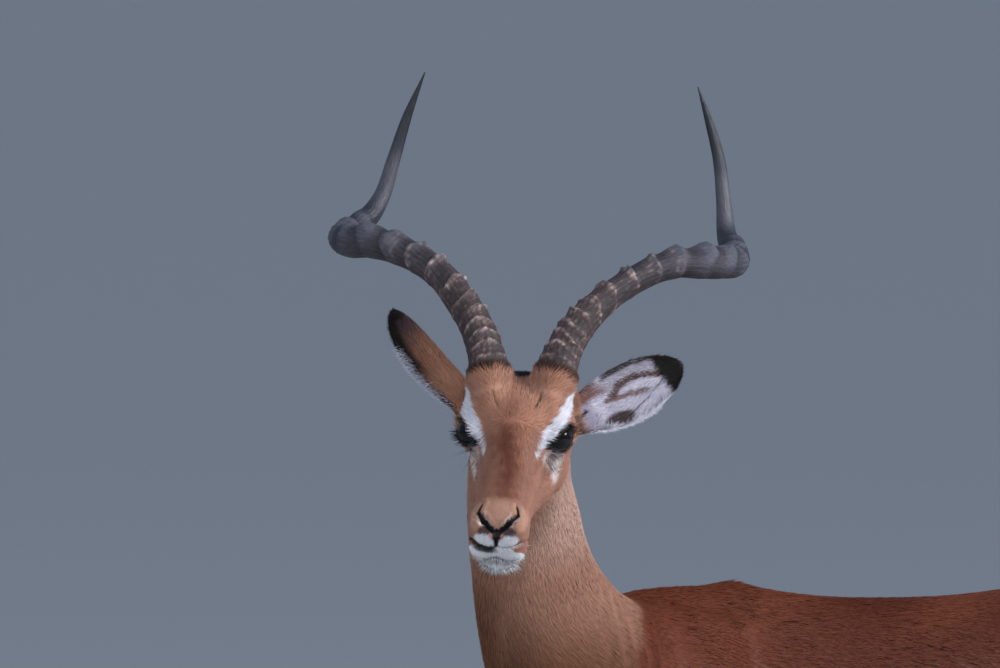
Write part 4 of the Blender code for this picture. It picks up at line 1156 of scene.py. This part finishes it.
for side, word in SIDES:
    mesh = horn(side)
    points = read(mesh)
    line = smooth_rows(HORN_ROWS[side], even(260))
    level = placed(points, LEVEL)
    away, share = along_line(level, line[:, :3])
    length = share * HORN_LENGTH
    standing = away - np.interp(share, even(260), line[:, 3])
    colours = np.tile(linear("#3C2C2C"), (len(points), 1))
    lay(colours, "#37333B", soft(length, 0.10, 0.22))
    lay(colours, "#23262F", soft(length, 0.22, 0.32))
    lay(colours, "#45454E", 0.8 * soft(length, 0.355, 0.38) * (1 - soft(length, 0.41, 0.44)))
    lay(colours, "#12151D", soft(length, 0.42, 0.47))
    # Pale flakes on the proud crests: wear, with a painted highlight where the crests catch the light.
    flaked = soft(wander(points, 0.007, 2.0), -0.2, 0.7)
    worn_and_lit = (0.05 + 0.85 * flaked) * soft(standing, 0.0004, 0.0022)
    lay(colours, "#AA978F", worn_and_lit * (1 - soft(length, 0.14, 0.25)))
    streaks = soft(wander(points, 0.0045, 6.0), 0.1, 0.8) * (1 - soft(length, 0.10, 0.22))
    lay(colours, "#857169", 0.55 * streaks)
    crests = 0.7 * soft(standing, 0.0012, 0.0036) * soft(length, 0.12, 0.25)
    lay(colours, "#4C4D58", crests * (1 - soft(length, 0.34, 0.38)))
    # Painted shade in the grooves between the lower rings.
    lay(colours, "#1D191C", 0.75 * (1 - soft(standing, -0.0003, 0.0006)) * (1 - soft(length, 0.24, 0.34)))
    dye_and_shade(mesh, colours, soft(length, 0.28, 0.40))
    core = np.stack([np.interp(share, even(260), line[:, k]) for k in range(3)], axis=1)
    around = (level - core) / 0.0011  # a fibre is about 1 mm across and 25 mm long
    grain = np.stack([around[:, 0], around[:, 1] + around[:, 2], length / 0.010], axis=1)
    filled(mesh.attributes.new("grain", "FLOAT_VECTOR", "POINT").data, "vector", grain)
    finished("sheath_" + word, mesh, horn_look, "horn", "horn_" + word)

# HOOVES. Two narrow black claws of hoof horn on each foot, grown down from the coronet, polished by grass and
# worn flat and paler at the ground edge, with faint growth rings.

CLAW_HALF_WIDTH = 0.0098
CLEFT = 0.0010  # half the gap between the two claws


def claw(name, side, inner):
    """One claw, flat underneath and cut on a slant where the skin of the foot ends."""
    foot = leg_rows(name, side)[-2]
    x = foot[0] + (-side if inner else side) * (CLAW_HALF_WIDTH + CLEFT)
    y = foot[1] - 0.004
    rows = [
        (x, y, 0.000, CLAW_HALF_WIDTH, 0.0345, 0.0225, 2.3, 0.30),
        (x, y, 0.020, CLAW_HALF_WIDTH, 0.0270, 0.0215, 2.3, 0.20),
        (x, y, 0.046, CLAW_HALF_WIDTH * 0.95, 0.0165, 0.0195, 2.2, 0.05),
    ]
    bm = bmesh.new()
    loft(bm, rows, Vector((0, -1, 0)), 36, even(44))
    facing = Vector((0, 0.28, -1.0)).normalized()
    cut = bmesh.ops.bisect_plane(
        bm, geom=bm.verts[:] + bm.edges[:] + bm.faces[:], plane_co=Vector((foot[0], foot[1], 0.0310)),
        plane_no=facing, clear_inner=True,
    )["geom_cut"]
    bmesh.ops.holes_fill(bm, edges=[e for e in cut if isinstance(e, bmesh.types.BMEdge)], sides=0)
    for vert in bm.verts:  # growth rings 2.6 mm apart
        if 0.002 < vert.co.z < 0.028:
            push = 0.00014 * math.sin(vert.co.z / 0.0026 * 2 * math.pi + vert.co.y * 90)
            vert.co += Vector((vert.co.x - x, vert.co.y - y, 0)).normalized() * push
    return bm


# Hoof horn: near black, satin, with grain down the wall and a dusty ground edge.
hoof_look, shader = surface("hoof_horn", Metallic=0.0, IOR=1.54)
place = node_with(hoof_look, "place", "TexCoord")
scale = node_with(
    hoof_look, "down the wall", "Mapping",
    {"Scale": (900.0, 900.0, 60.0)}, {"Vector": place.outputs["Object"]},
)
grain = node_with(
    hoof_look, "grain", "TexNoise", {"Scale": 1.0, "Detail": 3.0}, {"Vector": scale.outputs["Vector"]}
)
height = node_with(hoof_look, "height", "SeparateXYZ", links={"Vector": place.outputs["Object"]})
dust = node_with(
    hoof_look, "dust", "MapRange",
    {"From Min": 0.0, "From Max": 0.009, "To Min": 0.6, "To Max": 0.0}, {"Value": height.outputs["Z"]},
)
wall = node_with(hoof_look, "wall", "Mix", data_type="RGBA")
wall.inputs[6].default_value, wall.inputs[7].default_value = (*linear("#1C191A"), 1), (*linear("#35302F"), 1)
dusty = node_with(hoof_look, "dusty", "Mix", data_type="RGBA")
dusty.inputs[7].default_value = (*linear("#6A5C50"), 1)
gloss = node_with(
    hoof_look, "gloss", "MapRange", {"To Min": 0.34, "To Max": 0.62}, {"Value": grain.outputs["Fac"]}
)
lift = node_with(
    hoof_look, "grain lift", "Bump", {"Strength": 0.3, "Distance": 0.0004}, {"Height": grain.outputs["Fac"]}
)
joined(
    hoof_look, (grain.outputs["Fac"], wall.inputs[0]), (wall.outputs[2], dusty.inputs[6]),
    (dust.outputs["Result"], dusty.inputs[0]), (dusty.outputs[2], shader.inputs["Base Color"]),
    (gloss.outputs["Result"], shader.inputs["Roughness"]), (lift.outputs["Normal"], shader.inputs["Normal"]),
)
for side, word in SIDES:
    for name in ("fore", "hind"):
        for inner, where in ((True, "inner"), (False, "outer")):
            mesh = new_mesh("claw", claw(name, side, inner))
            finished(f"{name}_hoof_{word}_{where}", mesh, hoof_look, "hoof", f"{name}_claw_{word}_{where}")


# COAT. Short, sleek guard hair in overlapping locks that lie along the body from nose to tail: 3 mm to 8 mm
# on the face, 12 mm on the neck, 16 mm on the back, 8 mm low on the legs. Every lock is a thin closed wedge
# of hair rooted in the skin, and takes the colour of the skin at its root, painted shade and light included.

ROOT_DEPTH = 0.0003  # how deep in the skin hair is rooted
CORONET = 0.0325  # height at which the hair ends over the hooves
NECK_MIDDLE = (0.070, -0.400, 0.867)
BATCH = 20000  # places handled at one time
rng = np.random.default_rng(41)


def bones():
    """Places down the middle of the body with how thick it is there and the way its hair runs."""
    found = []
    for rows, sign in ((NECK_ROWS, -1), (TAIL_ROWS, 1)):
        line = smooth_rows([row[:4] for row in rows], even(40))
        runs = np.gradient(line[:, :3], axis=0)
        found.append(np.hstack([line, sign * runs / np.linalg.norm(runs, axis=1)[:, None]]))
    middles = [(0, y, (top + bottom) / 2, (top - bottom) / 2) for y, top, bottom, *_ in TRUNK_ROWS]
    found.append(np.hstack([smooth_rows(middles, even(40)), np.tile((0.0, 0.90, -0.42), (40, 1))]))
    for side in (LEFT, RIGHT):
        for name in ("fore", "hind"):
            line = smooth_rows([(*row[:3], row[4]) for row in leg_rows(name, side)], even(60))
            runs = np.gradient(line[:, :3], axis=0)
            line = np.hstack([line, runs / np.linalg.norm(runs, axis=1)[:, None]])
            found.append(line[line[:, 2] < 0.60])
    return np.vstack(found)


BONES = bones()


def lie(points, normals):
    """The way the hair runs at places of the skin."""
    run = np.zeros((len(points), 3))
    for start in range(0, len(points), BATCH):
        here = points[start : start + BATCH]
        away = np.linalg.norm(here[:, None, :] - BONES[None, :, :3], axis=2) / BONES[None, :, 3]
        weight = 1 / np.maximum(away, 0.05) ** 5
        run[start : start + BATCH] = weight @ BONES[:, 4:7] / weight.sum(axis=1)[:, None]
    head = placed(points, HEAD)
    turn = np.array(HEAD.to_3x3())
    facing = normals @ turn
    x, y, z = head.T
    flat = soft(facing[:, 2], 0.15, 0.75)
    up_front = soft(y, -0.040, 0.005)
    ahead = np.stack([x * 14, -1.0 + 2.0 * up_front, 0 * x], axis=1)
    cheek = np.stack([0.15 * np.sign(x), 0.80 + 0 * x, -0.60 * (1 - up_front)], axis=1)
    face = ahead * flat[:, None] + cheek * (1 - flat[:, None])
    near = (from_skull(head) < HEAD_REACH) * (1 - soft(past_jaw(points), -0.03, 0.02))
    run = run / np.maximum(np.linalg.norm(run, axis=1), 1e-6)[:, None]
    return run + (face @ turn.T - run) * near[:, None]


def triangles(mesh, uncarved=None):
    """Corners, normals and areas of a mesh's triangles, and corners and normals from before the folds."""
    mesh.calc_loop_triangles()
    index = np.empty(len(mesh.loop_triangles) * 3, np.int32)
    mesh.loop_triangles.foreach_get("vertices", index)
    index = index.reshape(-1, 3)
    carved = read(mesh), read(mesh, normals=True)
    corners, normals = (values[index] for values in carved)
    area = np.linalg.norm(np.cross(corners[:, 1] - corners[:, 0], corners[:, 2] - corners[:, 0]), axis=1) / 2
    return corners, normals, area, *(values[index] for values in uncarved or carved)


def strewn(surface_of, density, count):
    """That many places on a surface, more of them where density is higher."""
    corners, normals, area, plain, plain_normals = surface_of
    weight = np.cumsum(area * density)
    picks = np.searchsorted(weight, (np.arange(count) + rng.random(count)) / count * weight[-1])
    picks = np.minimum(picks, len(area) - 1)
    a, b = rng.random((2, count))
    turned = a + b > 1
    a[turned], b[turned] = 1 - a[turned], 1 - b[turned]
    share = np.stack([1 - a - b, a, b], axis=1)[:, :, None]
    found = [(values[picks] * share).sum(axis=1) for values in (corners, normals, plain, plain_normals)]
    for k in (1, 3):
        found[k] /= np.linalg.norm(found[k], axis=1)[:, None]
    return found


def locks(
    name, roots, normals, run, length, width, rise, colours, flat_map, thick=0.16, stray=7.0, sleek=True
):
    """Joins thin closed wedges of hair, one per root, into one mesh with its colours and its bake map."""
    count = len(roots)
    along = run - normals * (run * normals).sum(axis=1)[:, None]
    along /= np.maximum(np.linalg.norm(along, axis=1), 1e-9)[:, None]
    across = np.cross(normals, along)
    swing = np.radians(stray * rng.standard_normal(count) + 13 * wander(roots, 0.022, 7.0))[:, None]
    cos, sin = np.cos(swing), np.sin(swing)
    along, across = along * cos + across * sin, across * cos - along * sin
    length = length[:, None] * (1 + 0.18 * rng.standard_normal((count, 1)).clip(-2, 2))
    width = width[:, None] * (1 + 0.18 * rng.standard_normal((count, 1)).clip(-2, 2))
    rise = rise[:, None] * (1 + 0.35 * rng.standard_normal((count, 1)).clip(-1.5, 1.5))
    seat = roots - normals * ROOT_DEPTH
    ridge = roots + normals * width * thick + along * length * 0.12
    tip = roots + along * length * np.cos(rise) + normals * length * np.sin(rise)
    corners = np.stack([seat - across * width / 2, seat + across * width / 2, ridge, tip], axis=1)
    mesh = bpy.data.meshes.new(name)
    mesh.vertices.add(count * 4)
    filled(mesh.vertices, "co", corners)
    faces = np.array([(0, 3, 2), (1, 2, 3), (0, 1, 3), (0, 2, 1)])
    index = (np.arange(count)[:, None, None] * 4 + faces[None, :, :]).astype(np.int32).ravel()
    mesh.loops.add(count * 12)
    mesh.loops.foreach_set("vertex_index", index)
    mesh.polygons.add(count * 4)
    mesh.polygons.foreach_set("loop_start", np.arange(0, count * 12, 3, dtype=np.int32))
    mesh.update(calc_edges=True)
    # Each lock is painted darker at its root, as shade between the locks, and lighter at its tip, as painted
    # light; no two locks are alike.
    tone = 1 + 0.12 * rng.standard_normal((count, 1, 1)).clip(-2, 2)
    shade = np.array([0.80, 0.80, 0.96, 1.12])[None, :, None] * tone
    dye_and_shade(mesh, (colours[:, None, :] * shade).clip(0.002, 0.85).reshape(-1, 3))
    flat_map = (flat_map - flat_map.min(axis=0)) / np.ptp(flat_map, axis=0)
    flat_map = 0.01 + 0.977 * flat_map
    patch = np.array([(0.0, 0.0), (0.003, 0.0), (0.0015, 0.001), (0.0015, 0.003)])
    uv = (flat_map[:, None, :] + patch[None, :, :]).reshape(-1, 2)[index]
    filled(mesh.uv_layers.new(name="OFBake").uv, "vector", uv)
    mesh.shade_smooth()
    if not sleek:
        return mesh
    leans = -0.55 * across, 0.55 * across, -0.25 * along, 0.35 * along
    soft_normals = np.stack([normals + lean for lean in leans], axis=1)
    soft_normals /= np.linalg.norm(soft_normals, axis=2)[:, :, None]
    mesh.normals_split_custom_set_from_vertices(soft_normals.reshape(-1, 3).astype(np.float32).tolist())
    return mesh


def unrolled(points, part):
    """Where places of a part lie on its skin unrolled about the part's own length."""
    if part == "head":
        head = placed(points, HEAD) + (0, 0, 0.030)
        out = np.hypot(head[:, 0], head[:, 2])
        return np.stack([np.arctan2(head[:, 0], -head[:, 2]), head[:, 1] + 0.8 * out], axis=1)
    if part == "neck":
        axis = Vector((0.160, -0.230, 0.320)).normalized()
        rise = NAPE - axis * NAPE.dot(axis)
        rise.normalize()
        away = points - NECK_MIDDLE
        return np.stack([np.arctan2(away @ axis.cross(rise), away @ rise), away @ axis], axis=1)
    if part == "trunk":
        return np.stack([np.arctan2(points[:, 0], 0.70 - points[:, 2]), points[:, 1]], axis=1)
    away, share = along_line(points, part)
    line = np.array(part)[:, :3]
    knots = np.concatenate([[0], np.cumsum(np.linalg.norm(np.diff(line, axis=0), axis=1))])
    core = np.stack([np.interp(share, knots / knots[-1], line[:, k]) for k in range(2)], axis=1)
    return np.stack([np.arctan2(points[:, 0] - core[:, 0], points[:, 1] - core[:, 1]), share], axis=1)


def hair_size(points, normals):
    """Length, width and rise of the locks at places of the skin."""
    head = placed(points, HEAD)
    away = from_skull(head)
    on_head = 1 - soft(away, 0.13, 0.17)
    brow = soft(head[:, 1], -0.06, 0.0)
    face_length = 0.0034 + 0.0014 * soft(head[:, 1], -0.13, -0.05) + 0.0034 * brow
    face_width = 0.00062 + 0.00020 * soft(head[:, 1], -0.13, 0.06) + 0.00010 * brow
    body_length = 0.0075 + 0.0085 * soft(points[:, 2], 0.25, 0.62)
    neck = along_line(points, NECK_ROWS[2:])[0]
    on_neck = (1 - soft(neck, 0.085, 0.14)) * (points[:, 1] < -0.27)
    wider = 0.0004 * soft(points[:, 1], -0.35, -0.20) * soft(points[:, 2], 0.4, 0.6)
    body_width = 0.0015 + wider - 0.0003 * on_neck
    length = face_length * on_head + (body_length - 0.0035 * on_neck) * (1 - on_head)
    width = face_width * on_head + body_width * (1 - on_head)
    rise = np.radians(4.0 + 4.5 * on_head + 1.5 * on_neck)
    return length, width, rise


def bare(points):
    """0 on naked skin, where no hair grows, and 1 elsewhere."""
    head = placed(points, HEAD)
    half = mirrored(head)
    level = placed(points, LEVEL)
    grows = np.ones(len(points))
    away, share = along_line(half, NOSTRIL)
    inwards = soft(share, 0.25, 0.6)
    grows *= soft(away, 0.0015 + 0.0022 * inwards, 0.0024 + 0.003 * inwards)
    grows *= soft(along_line(half, PHILTRUM)[0], 0.0016, 0.0028)
    grows *= soft(along_line(half, MOUTH)[0], 0.0012, 0.0022)
    for line in BROW_CREASES:
        grows *= soft(along_line(head, line)[0], 0.0010, 0.0018)
    for side in (LEFT, RIGHT):
        eye = placed(points, gaze(side))
        near = (eye[:, 2] > -0.004) & (np.linalg.norm(eye, axis=1) < 0.04)
        grows *= np.where(near, soft(almond(eye), 1.32, 1.44), 1.0)
        grows *= soft(along_line(level, HORN_ROWS[side])[0], 0.0188, 0.0194)
    return grows * (points[:, 2] > CORONET)


# Guard hair: a soft, slightly glossy fibre; sleek coats show a broad highlight along the lie.
hair_look, shader = surface(
    "short_guard_hair", Roughness=0.62, Metallic=0.0, IOR=1.50, Specular_IOR_Level=0.10
)
tint = node_with(hair_look, "dye_and_shade", "Attribute", attribute_name="hair")
joined(hair_look, (tint.outputs["Color"], shader.inputs["Base Color"]))

whole = triangles(skin_mesh, uncarved)
middle, facing = whole[3].mean(axis=1), whole[4].mean(axis=1)
past_neck = (middle - (0.010, -0.318, 0.771)) @ np.array(Vector((0.15, -0.88, 0.45)).normalized())
is_head = (from_skull(placed(middle, HEAD)) < HEAD_REACH) & (past_jaw(middle) < 0)
is_neck = ~is_head & (past_neck > 0) & (middle[:, 2] > 0.60)
is_tail = (middle[:, 1] > 0.493) & (np.abs(middle[:, 0]) < 0.035) & (middle[:, 2] > 0.44)
is_fore = ~is_head & ~is_neck & (middle[:, 2] < 0.512) & (middle[:, 1] < 0.05)
past_thigh = (middle[:, 1] - 0.330) * 0.36 - 0.93 * (middle[:, 2] - 0.570)
is_hind = ~is_tail & (middle[:, 1] > 0.05) & (past_thigh > 0)
is_trunk = ~(is_head | is_neck | is_tail | is_fore | is_hind)
head_x = placed(middle, HEAD)[:, 0]
grows = bare(middle)
length, width, _ = hair_size(middle, facing)
need = grows / (length * width)
front = middle[:, 1] < 0.06
x = middle[:, 0]
neck_x = (middle - NECK_MIDDLE) @ np.array((0.82, 0.57, 0.0))
for name, chosen, part, cover, slot in (
    ("coat_face_left", is_head & (head_x > 0), "head", 42000, "fawn_coat"),
    ("coat_face_right", is_head & (head_x <= 0), "head", 42000, "fawn_coat"),
    ("coat_neck_left", is_neck & (neck_x > 0), "neck", 38000, "fawn_coat"),
    ("coat_neck_right", is_neck & (neck_x <= 0), "neck", 32000, "fawn_coat"),
    ("coat_shoulder_left", is_trunk & front & (x > 0), "trunk", 40000, "rufous_coat"),
    ("coat_shoulder_right", is_trunk & front & (x <= 0), "trunk", 30000, "rufous_coat"),
    ("coat_flank_left", is_trunk & ~front & (x > 0), "trunk", 30000, "rufous_coat"),
    ("coat_flank_right", is_trunk & ~front & (x <= 0), "trunk", 26000, "rufous_coat"),
    ("coat_foreleg_left", is_fore & (x > 0), leg_rows("fore", LEFT), 16000, "fawn_coat"),
    ("coat_foreleg_right", is_fore & (x <= 0), leg_rows("fore", RIGHT), 16000, "fawn_coat"),
    ("coat_hindleg_left", is_hind & (x > 0), leg_rows("hind", LEFT), 19000, "fawn_coat"),
    ("coat_hindleg_right", is_hind & (x <= 0), leg_rows("hind", RIGHT), 19000, "fawn_coat"),
    ("coat_tail", is_tail, TAIL_ROWS, 3500, "rufous_coat"),
):
    roots, normals, plain, plain_normals = strewn(whole, need * chosen, cover)
    length, width, rise = hair_size(plain, plain_normals)
    colours, run = dyed_and_shaded(plain, plain_normals), lie(plain, normals)
    mesh = locks(name, roots, normals, run, length, width, rise, colours, unrolled(plain, part))
    finished(name, mesh, hair_look, slot, is_hair=True)
for side, word in SIDES:
    leaf = triangles(ear_meshes[side])
    share, across, rise = ear_place(leaf[3].mean(axis=1), side)
    roots, normals, _, _ = strewn(leaf, soft(share, -0.05, 0.02), 11000)
    share, across, rise = ear_place(roots, side)
    axis, opens = ear_ways(side)
    run = np.tile(axis, (len(roots), 1))
    unroll = np.stack([across + 2.2 * (normals @ opens > 0), share], axis=1)
    taper = 1 - 0.5 * soft(share, 0.8, 1.0)
    sizes = 0.0070 * taper, np.full(len(roots), 0.0010), np.full(len(roots), 0.20)
    mesh = locks("coat_ear_" + word, roots, normals, run, *sizes, dyed_and_shaded(roots, normals, side), unroll)
    finished("coat_ear_" + word, mesh, hair_look, "fawn_coat", is_hair=True)


# LONG HAIR. White beard under the jaw, fringes of the ears, black lashes and whiskers, dark ruffs round the
# feet of the horns, the brush of the tail and black tufts over the hind heels. All stand out from the coat.


def streaming(name, roots, normals, run, length, width, rise, tint, flat_map, slot="fawn_coat", **more):
    """Shows long hair of one tint as separate closed locks."""
    count = len(roots)
    sizes = (np.full(count, float(v)) if np.isscalar(v) else v for v in (length, width, rise))
    colours = np.tile(linear(tint), (count, 1)) if isinstance(tint, str) else tint
    mesh = locks(name, roots, normals, run, *sizes, colours, flat_map, sleek=False, **more)
    finished(name, mesh, hair_look, slot, is_hair=True)


head_turn = np.array(HEAD.to_3x3())
head_middle = placed(middle, HEAD)
head_facing = facing @ head_turn

# Beard.
_, ahead, high = head_middle.T
under_jaw = is_head * soft(-head_facing[:, 2], 0.15, 0.6) * soft(-high, 0.050, 0.055)
roots, normals, plain, _ = strewn(whole, under_jaw * soft(-ahead, 0.086, 0.106), 3200)
aside, ahead, _ = placed(plain, HEAD).T
spread = (soft(np.abs(aside), 0.0, 0.018) * np.sign(aside))[:, None]
run = (spread * (0.40, 0, 0) + (0, 0.50, -0.75)) @ head_turn.T
length = 0.0120 + 0.0045 * soft(-ahead, 0.09, 0.13) - 0.008 * soft(-ahead, 0.140, 0.152)
streaming("beard", roots, normals, run, length, 0.0011, 0.40, WHITE, unrolled(plain, "head"), stray=8.0)

# Ruffs.
for side, word in SIDES:
    foot = smooth_rows(HORN_ROWS[side], [0.5 * HAIRLINE / HORN_LENGTH, HAIRLINE / HORN_LENGTH])
    foot, up = np.array(foot[0]), np.array(foot[1])[:3] - np.array(foot[0])[:3]
    up = up / np.linalg.norm(up)
    from_foot = placed(whole[0].mean(axis=1), LEVEL) - foot[:3]
    share = from_foot @ up
    ring_away = np.linalg.norm(from_foot - share[:, None] * up, axis=1)
    round_horn = is_head * (np.abs(share - 0.013) < 0.009) * (ring_away < 0.027) * 1.0
    roots, normals, plain, _ = strewn(whole, round_horn, 1700)
    run = np.tile(np.array(LEVEL.to_3x3()) @ up, (len(roots), 1))
    flat = unrolled(plain, "head")
    streaming("ruff_" + word, roots, normals, run, 0.0075, 0.0009, 0.10, "#2A1D19", flat, stray=8.0)

# Lashes and whiskers: black, 8 mm and 22 mm.
for side, word in SIDES:
    turn = np.sort(rng.uniform(math.radians(35), math.radians(140), 46))
    x, y = LID_OPENING[0] * 1.06 * np.cos(turn), LID_OPENING[1] * 1.12 * np.sin(turn)
    z = np.sqrt(np.maximum(EYE_RADIUS**2 - x**2 - y**2, 0)) + 0.0016
    roots = carried(np.stack([x, y, z], axis=1), gaze(side))
    eye_turn = np.array(gaze(side))[:3, :3].T
    run = np.stack([0.75 * np.cos(turn), 0.25 + 0.25 * np.sin(turn), 0.85 + 0 * x], axis=1) @ eye_turn
    normals = np.tile((0, 1, -0.35), (len(turn), 1)) @ eye_turn
    flat = unrolled(roots, "head")
    streaming("lashes_" + word, roots, normals, run, 0.0082, 0.0005, -0.15, BLACK, flat, stray=6.0, thick=0.5)
feelers = is_head * (within(mirrored(head_middle), (0.040, -0.016, -0.014), (0.012, 0.014, 0.010)) < 1)
roots, normals, plain, _ = strewn(whole, feelers, 44)
run = np.array([(0.0, -0.25, -0.60)]) @ head_turn.T + 0.9 * normals + 0.25 * rng.standard_normal(roots.shape)
square_on = -np.cross(run, np.cross(normals, run)) / (run**2).sum(axis=1)[:, None]
streaming("whiskers", roots, square_on, run, 0.022, 0.00045, 0.0, BLACK, unrolled(plain, "head"), thick=0.5)

# Ear fringes: white hair combed across the cup from both rims, and out past the front rim.
for side, word in SIDES:
    leaf = triangles(ear_meshes[side])
    spot, out = leaf[3].mean(axis=1), leaf[4].mean(axis=1)
    share, across, _ = ear_place(spot, side)
    axis, opens = ear_ways(side)
    sideways = np.cross(axis, opens - axis * (axis @ opens))
    sideways /= np.linalg.norm(sideways)
    inner = soft(out @ opens, 0.0, 0.3) * soft(share, 0.14, 0.22) * (1 - soft(share, 0.74, 0.80))
    pale = ear_colours(spot, out, side).mean(axis=1) > 0.30
    thickest = 0.3 + soft(np.abs(across), 0.2, 0.7)
    roots, normals, _, _ = strewn(leaf, inner * (0.15 + pale) * thickest, 3000)
    share, across, _ = ear_place(roots, side)
    run = axis * 0.9 - sideways * (np.sign(across) * soft(np.abs(across), 0.05, 0.5))[:, None]
    tints = ear_colours(roots, normals, side) * 0.75 + 0.25 * linear(WHITE)
    tints = tints * rng.uniform(0.35, 1.25, (len(roots), 1))
    flat = np.stack([across, share], axis=1)
    streaming("cup_hair_" + word, roots, normals, run, 0.0085, 0.0008, 0.12, tints, flat, stray=12.0)
    share, across, _ = ear_place(spot, side)
    edge = soft(across, 0.88, 0.97) * soft(share, 0.08, 0.18) * (1 - soft(share, 0.58, 0.72))
    roots, normals, _, _ = strewn(leaf, edge, 900)
    share, across, _ = ear_place(roots, side)
    run = axis * (0.7 if side == LEFT else 0.25) + sideways * np.sign(across)[:, None]
    out, long = np.tile(opens, (len(roots), 1)), 0.0055 if side == LEFT else 0.0095
    flat = np.stack([across, share], axis=1)
    streaming("rim_hair_" + word, roots, out, run, long, 0.0008, 0.05, "#C3C2CE", flat, stray=12.0)

# Tail brush.
tail_spot = is_tail * soft(0.80 - middle[:, 2], 0.0, 0.10)
roots, normals, plain, plain_normals = strewn(whole, tail_spot, 2600)
line = np.array(TAIL_ROWS)[:, :3]
run = np.tile(line[-1] - line[-3], (len(roots), 1)) + 0.15 * normals * np.linalg.norm(line[-1] - line[-3])
tints, flat = dyed_and_shaded(plain, plain_normals), unrolled(plain, TAIL_ROWS)
streaming("tail_brush", roots, normals, run, 0.030, 0.0016, 0.14, tints, flat, "rufous_coat", stray=9.0)

# Heel tufts.
for side, word in SIDES:
    heel = leg_rows("hind", side)[HEEL]
    spot = within(middle, (heel[0], heel[1] + 0.014, 0.152), (0.022, 0.016, 0.034)) < 1
    roots, normals, plain, _ = strewn(whole, spot * soft(facing[:, 1], -0.5, 0.3), 900)
    run = np.tile((0.0, 0.25, -1.0), (len(roots), 1))
    flat = unrolled(plain, leg_rows("hind", side))
    streaming("heel_tuft_" + word, roots, normals, run, 0.016, 0.0011, 0.35, BLACK, flat, stray=10.0)


# STUDIO. A plain pale floor, a soft overhead key from the ram's left, a broad fill and a pale room.

bm = bmesh.new()
bmesh.ops.create_circle(bm, cap_ends=True, segments=96, radius=400)
floor_mesh = new_mesh("floor", bm)
floor_look, _ = surface("pale_floor", Base_Color="#B9BAB6", Roughness=0.9, Specular_IOR_Level=0.1)
floor_mesh.materials.append(floor_look)
floor = shown("floor", floor_mesh)
if floor_mesh.polygons[0].normal.z < 0:
    floor_mesh.flip_normals()

scene = bpy.context.scene
scene.view_settings.view_transform = "Standard"
room = bpy.data.worlds.new("room")
scene.world = room
room.use_nodes = True
room.node_tree.nodes["Background"].inputs["Color"].default_value = (*linear("#C0D0EE"), 1)
room.node_tree.nodes["Background"].inputs["Strength"].default_value = 0.56


def softbox(name, place, aim, size, watts, tint):
    light = bpy.data.lights.new(name, "AREA")
    light.shape, light.size, light.energy, light.color = "DISK", size, watts, tint
    lamp = shown(name, light)
    lamp.location = place
    lamp.rotation_mode = "QUATERNION"
    lamp.rotation_quaternion = (Vector(aim) - Vector(place)).to_track_quat("-Z", "Y")


softbox("key", (3.6, 3.0, 3.6), (0.05, -0.2, 0.9), 2.6, 430, (0.97, 0.97, 1.0))
softbox("fill", (2.0, -5.2, 3.4), (0.0, -0.3, 0.9), 3.0, 130, (0.95, 0.97, 1.0))

AZIMUTH, ELEVATION, DISTANCE, LENS = math.radians(65), math.radians(2.5), 11.4, 400
ASIDE, ABOVE = 15, 100  # how far left of the eyes and over them it aims, in thousandths of the width
flat = math.cos(ELEVATION)
back = Vector((math.sin(AZIMUTH) * flat, -math.cos(AZIMUTH) * flat, math.sin(ELEVATION)))
right = Vector((0, 0, 1)).cross(back).normalized()
above = back.cross(right)
step = 36 / LENS * DISTANCE / 1000  # what a thousandth of the width covers at the face
camera = shown("camera", bpy.data.cameras.new("camera"))
camera.data.lens, camera.data.sensor_width, camera.data.clip_end = LENS, 36, 1200
camera.rotation_mode = "QUATERNION"
camera.rotation_quaternion = Matrix((right, above, back)).transposed().to_quaternion()
camera.location = EYE_PLACE + CENTRING + back * DISTANCE - right * ASIDE * step + above * ABOVE * step
scene.camera = camera
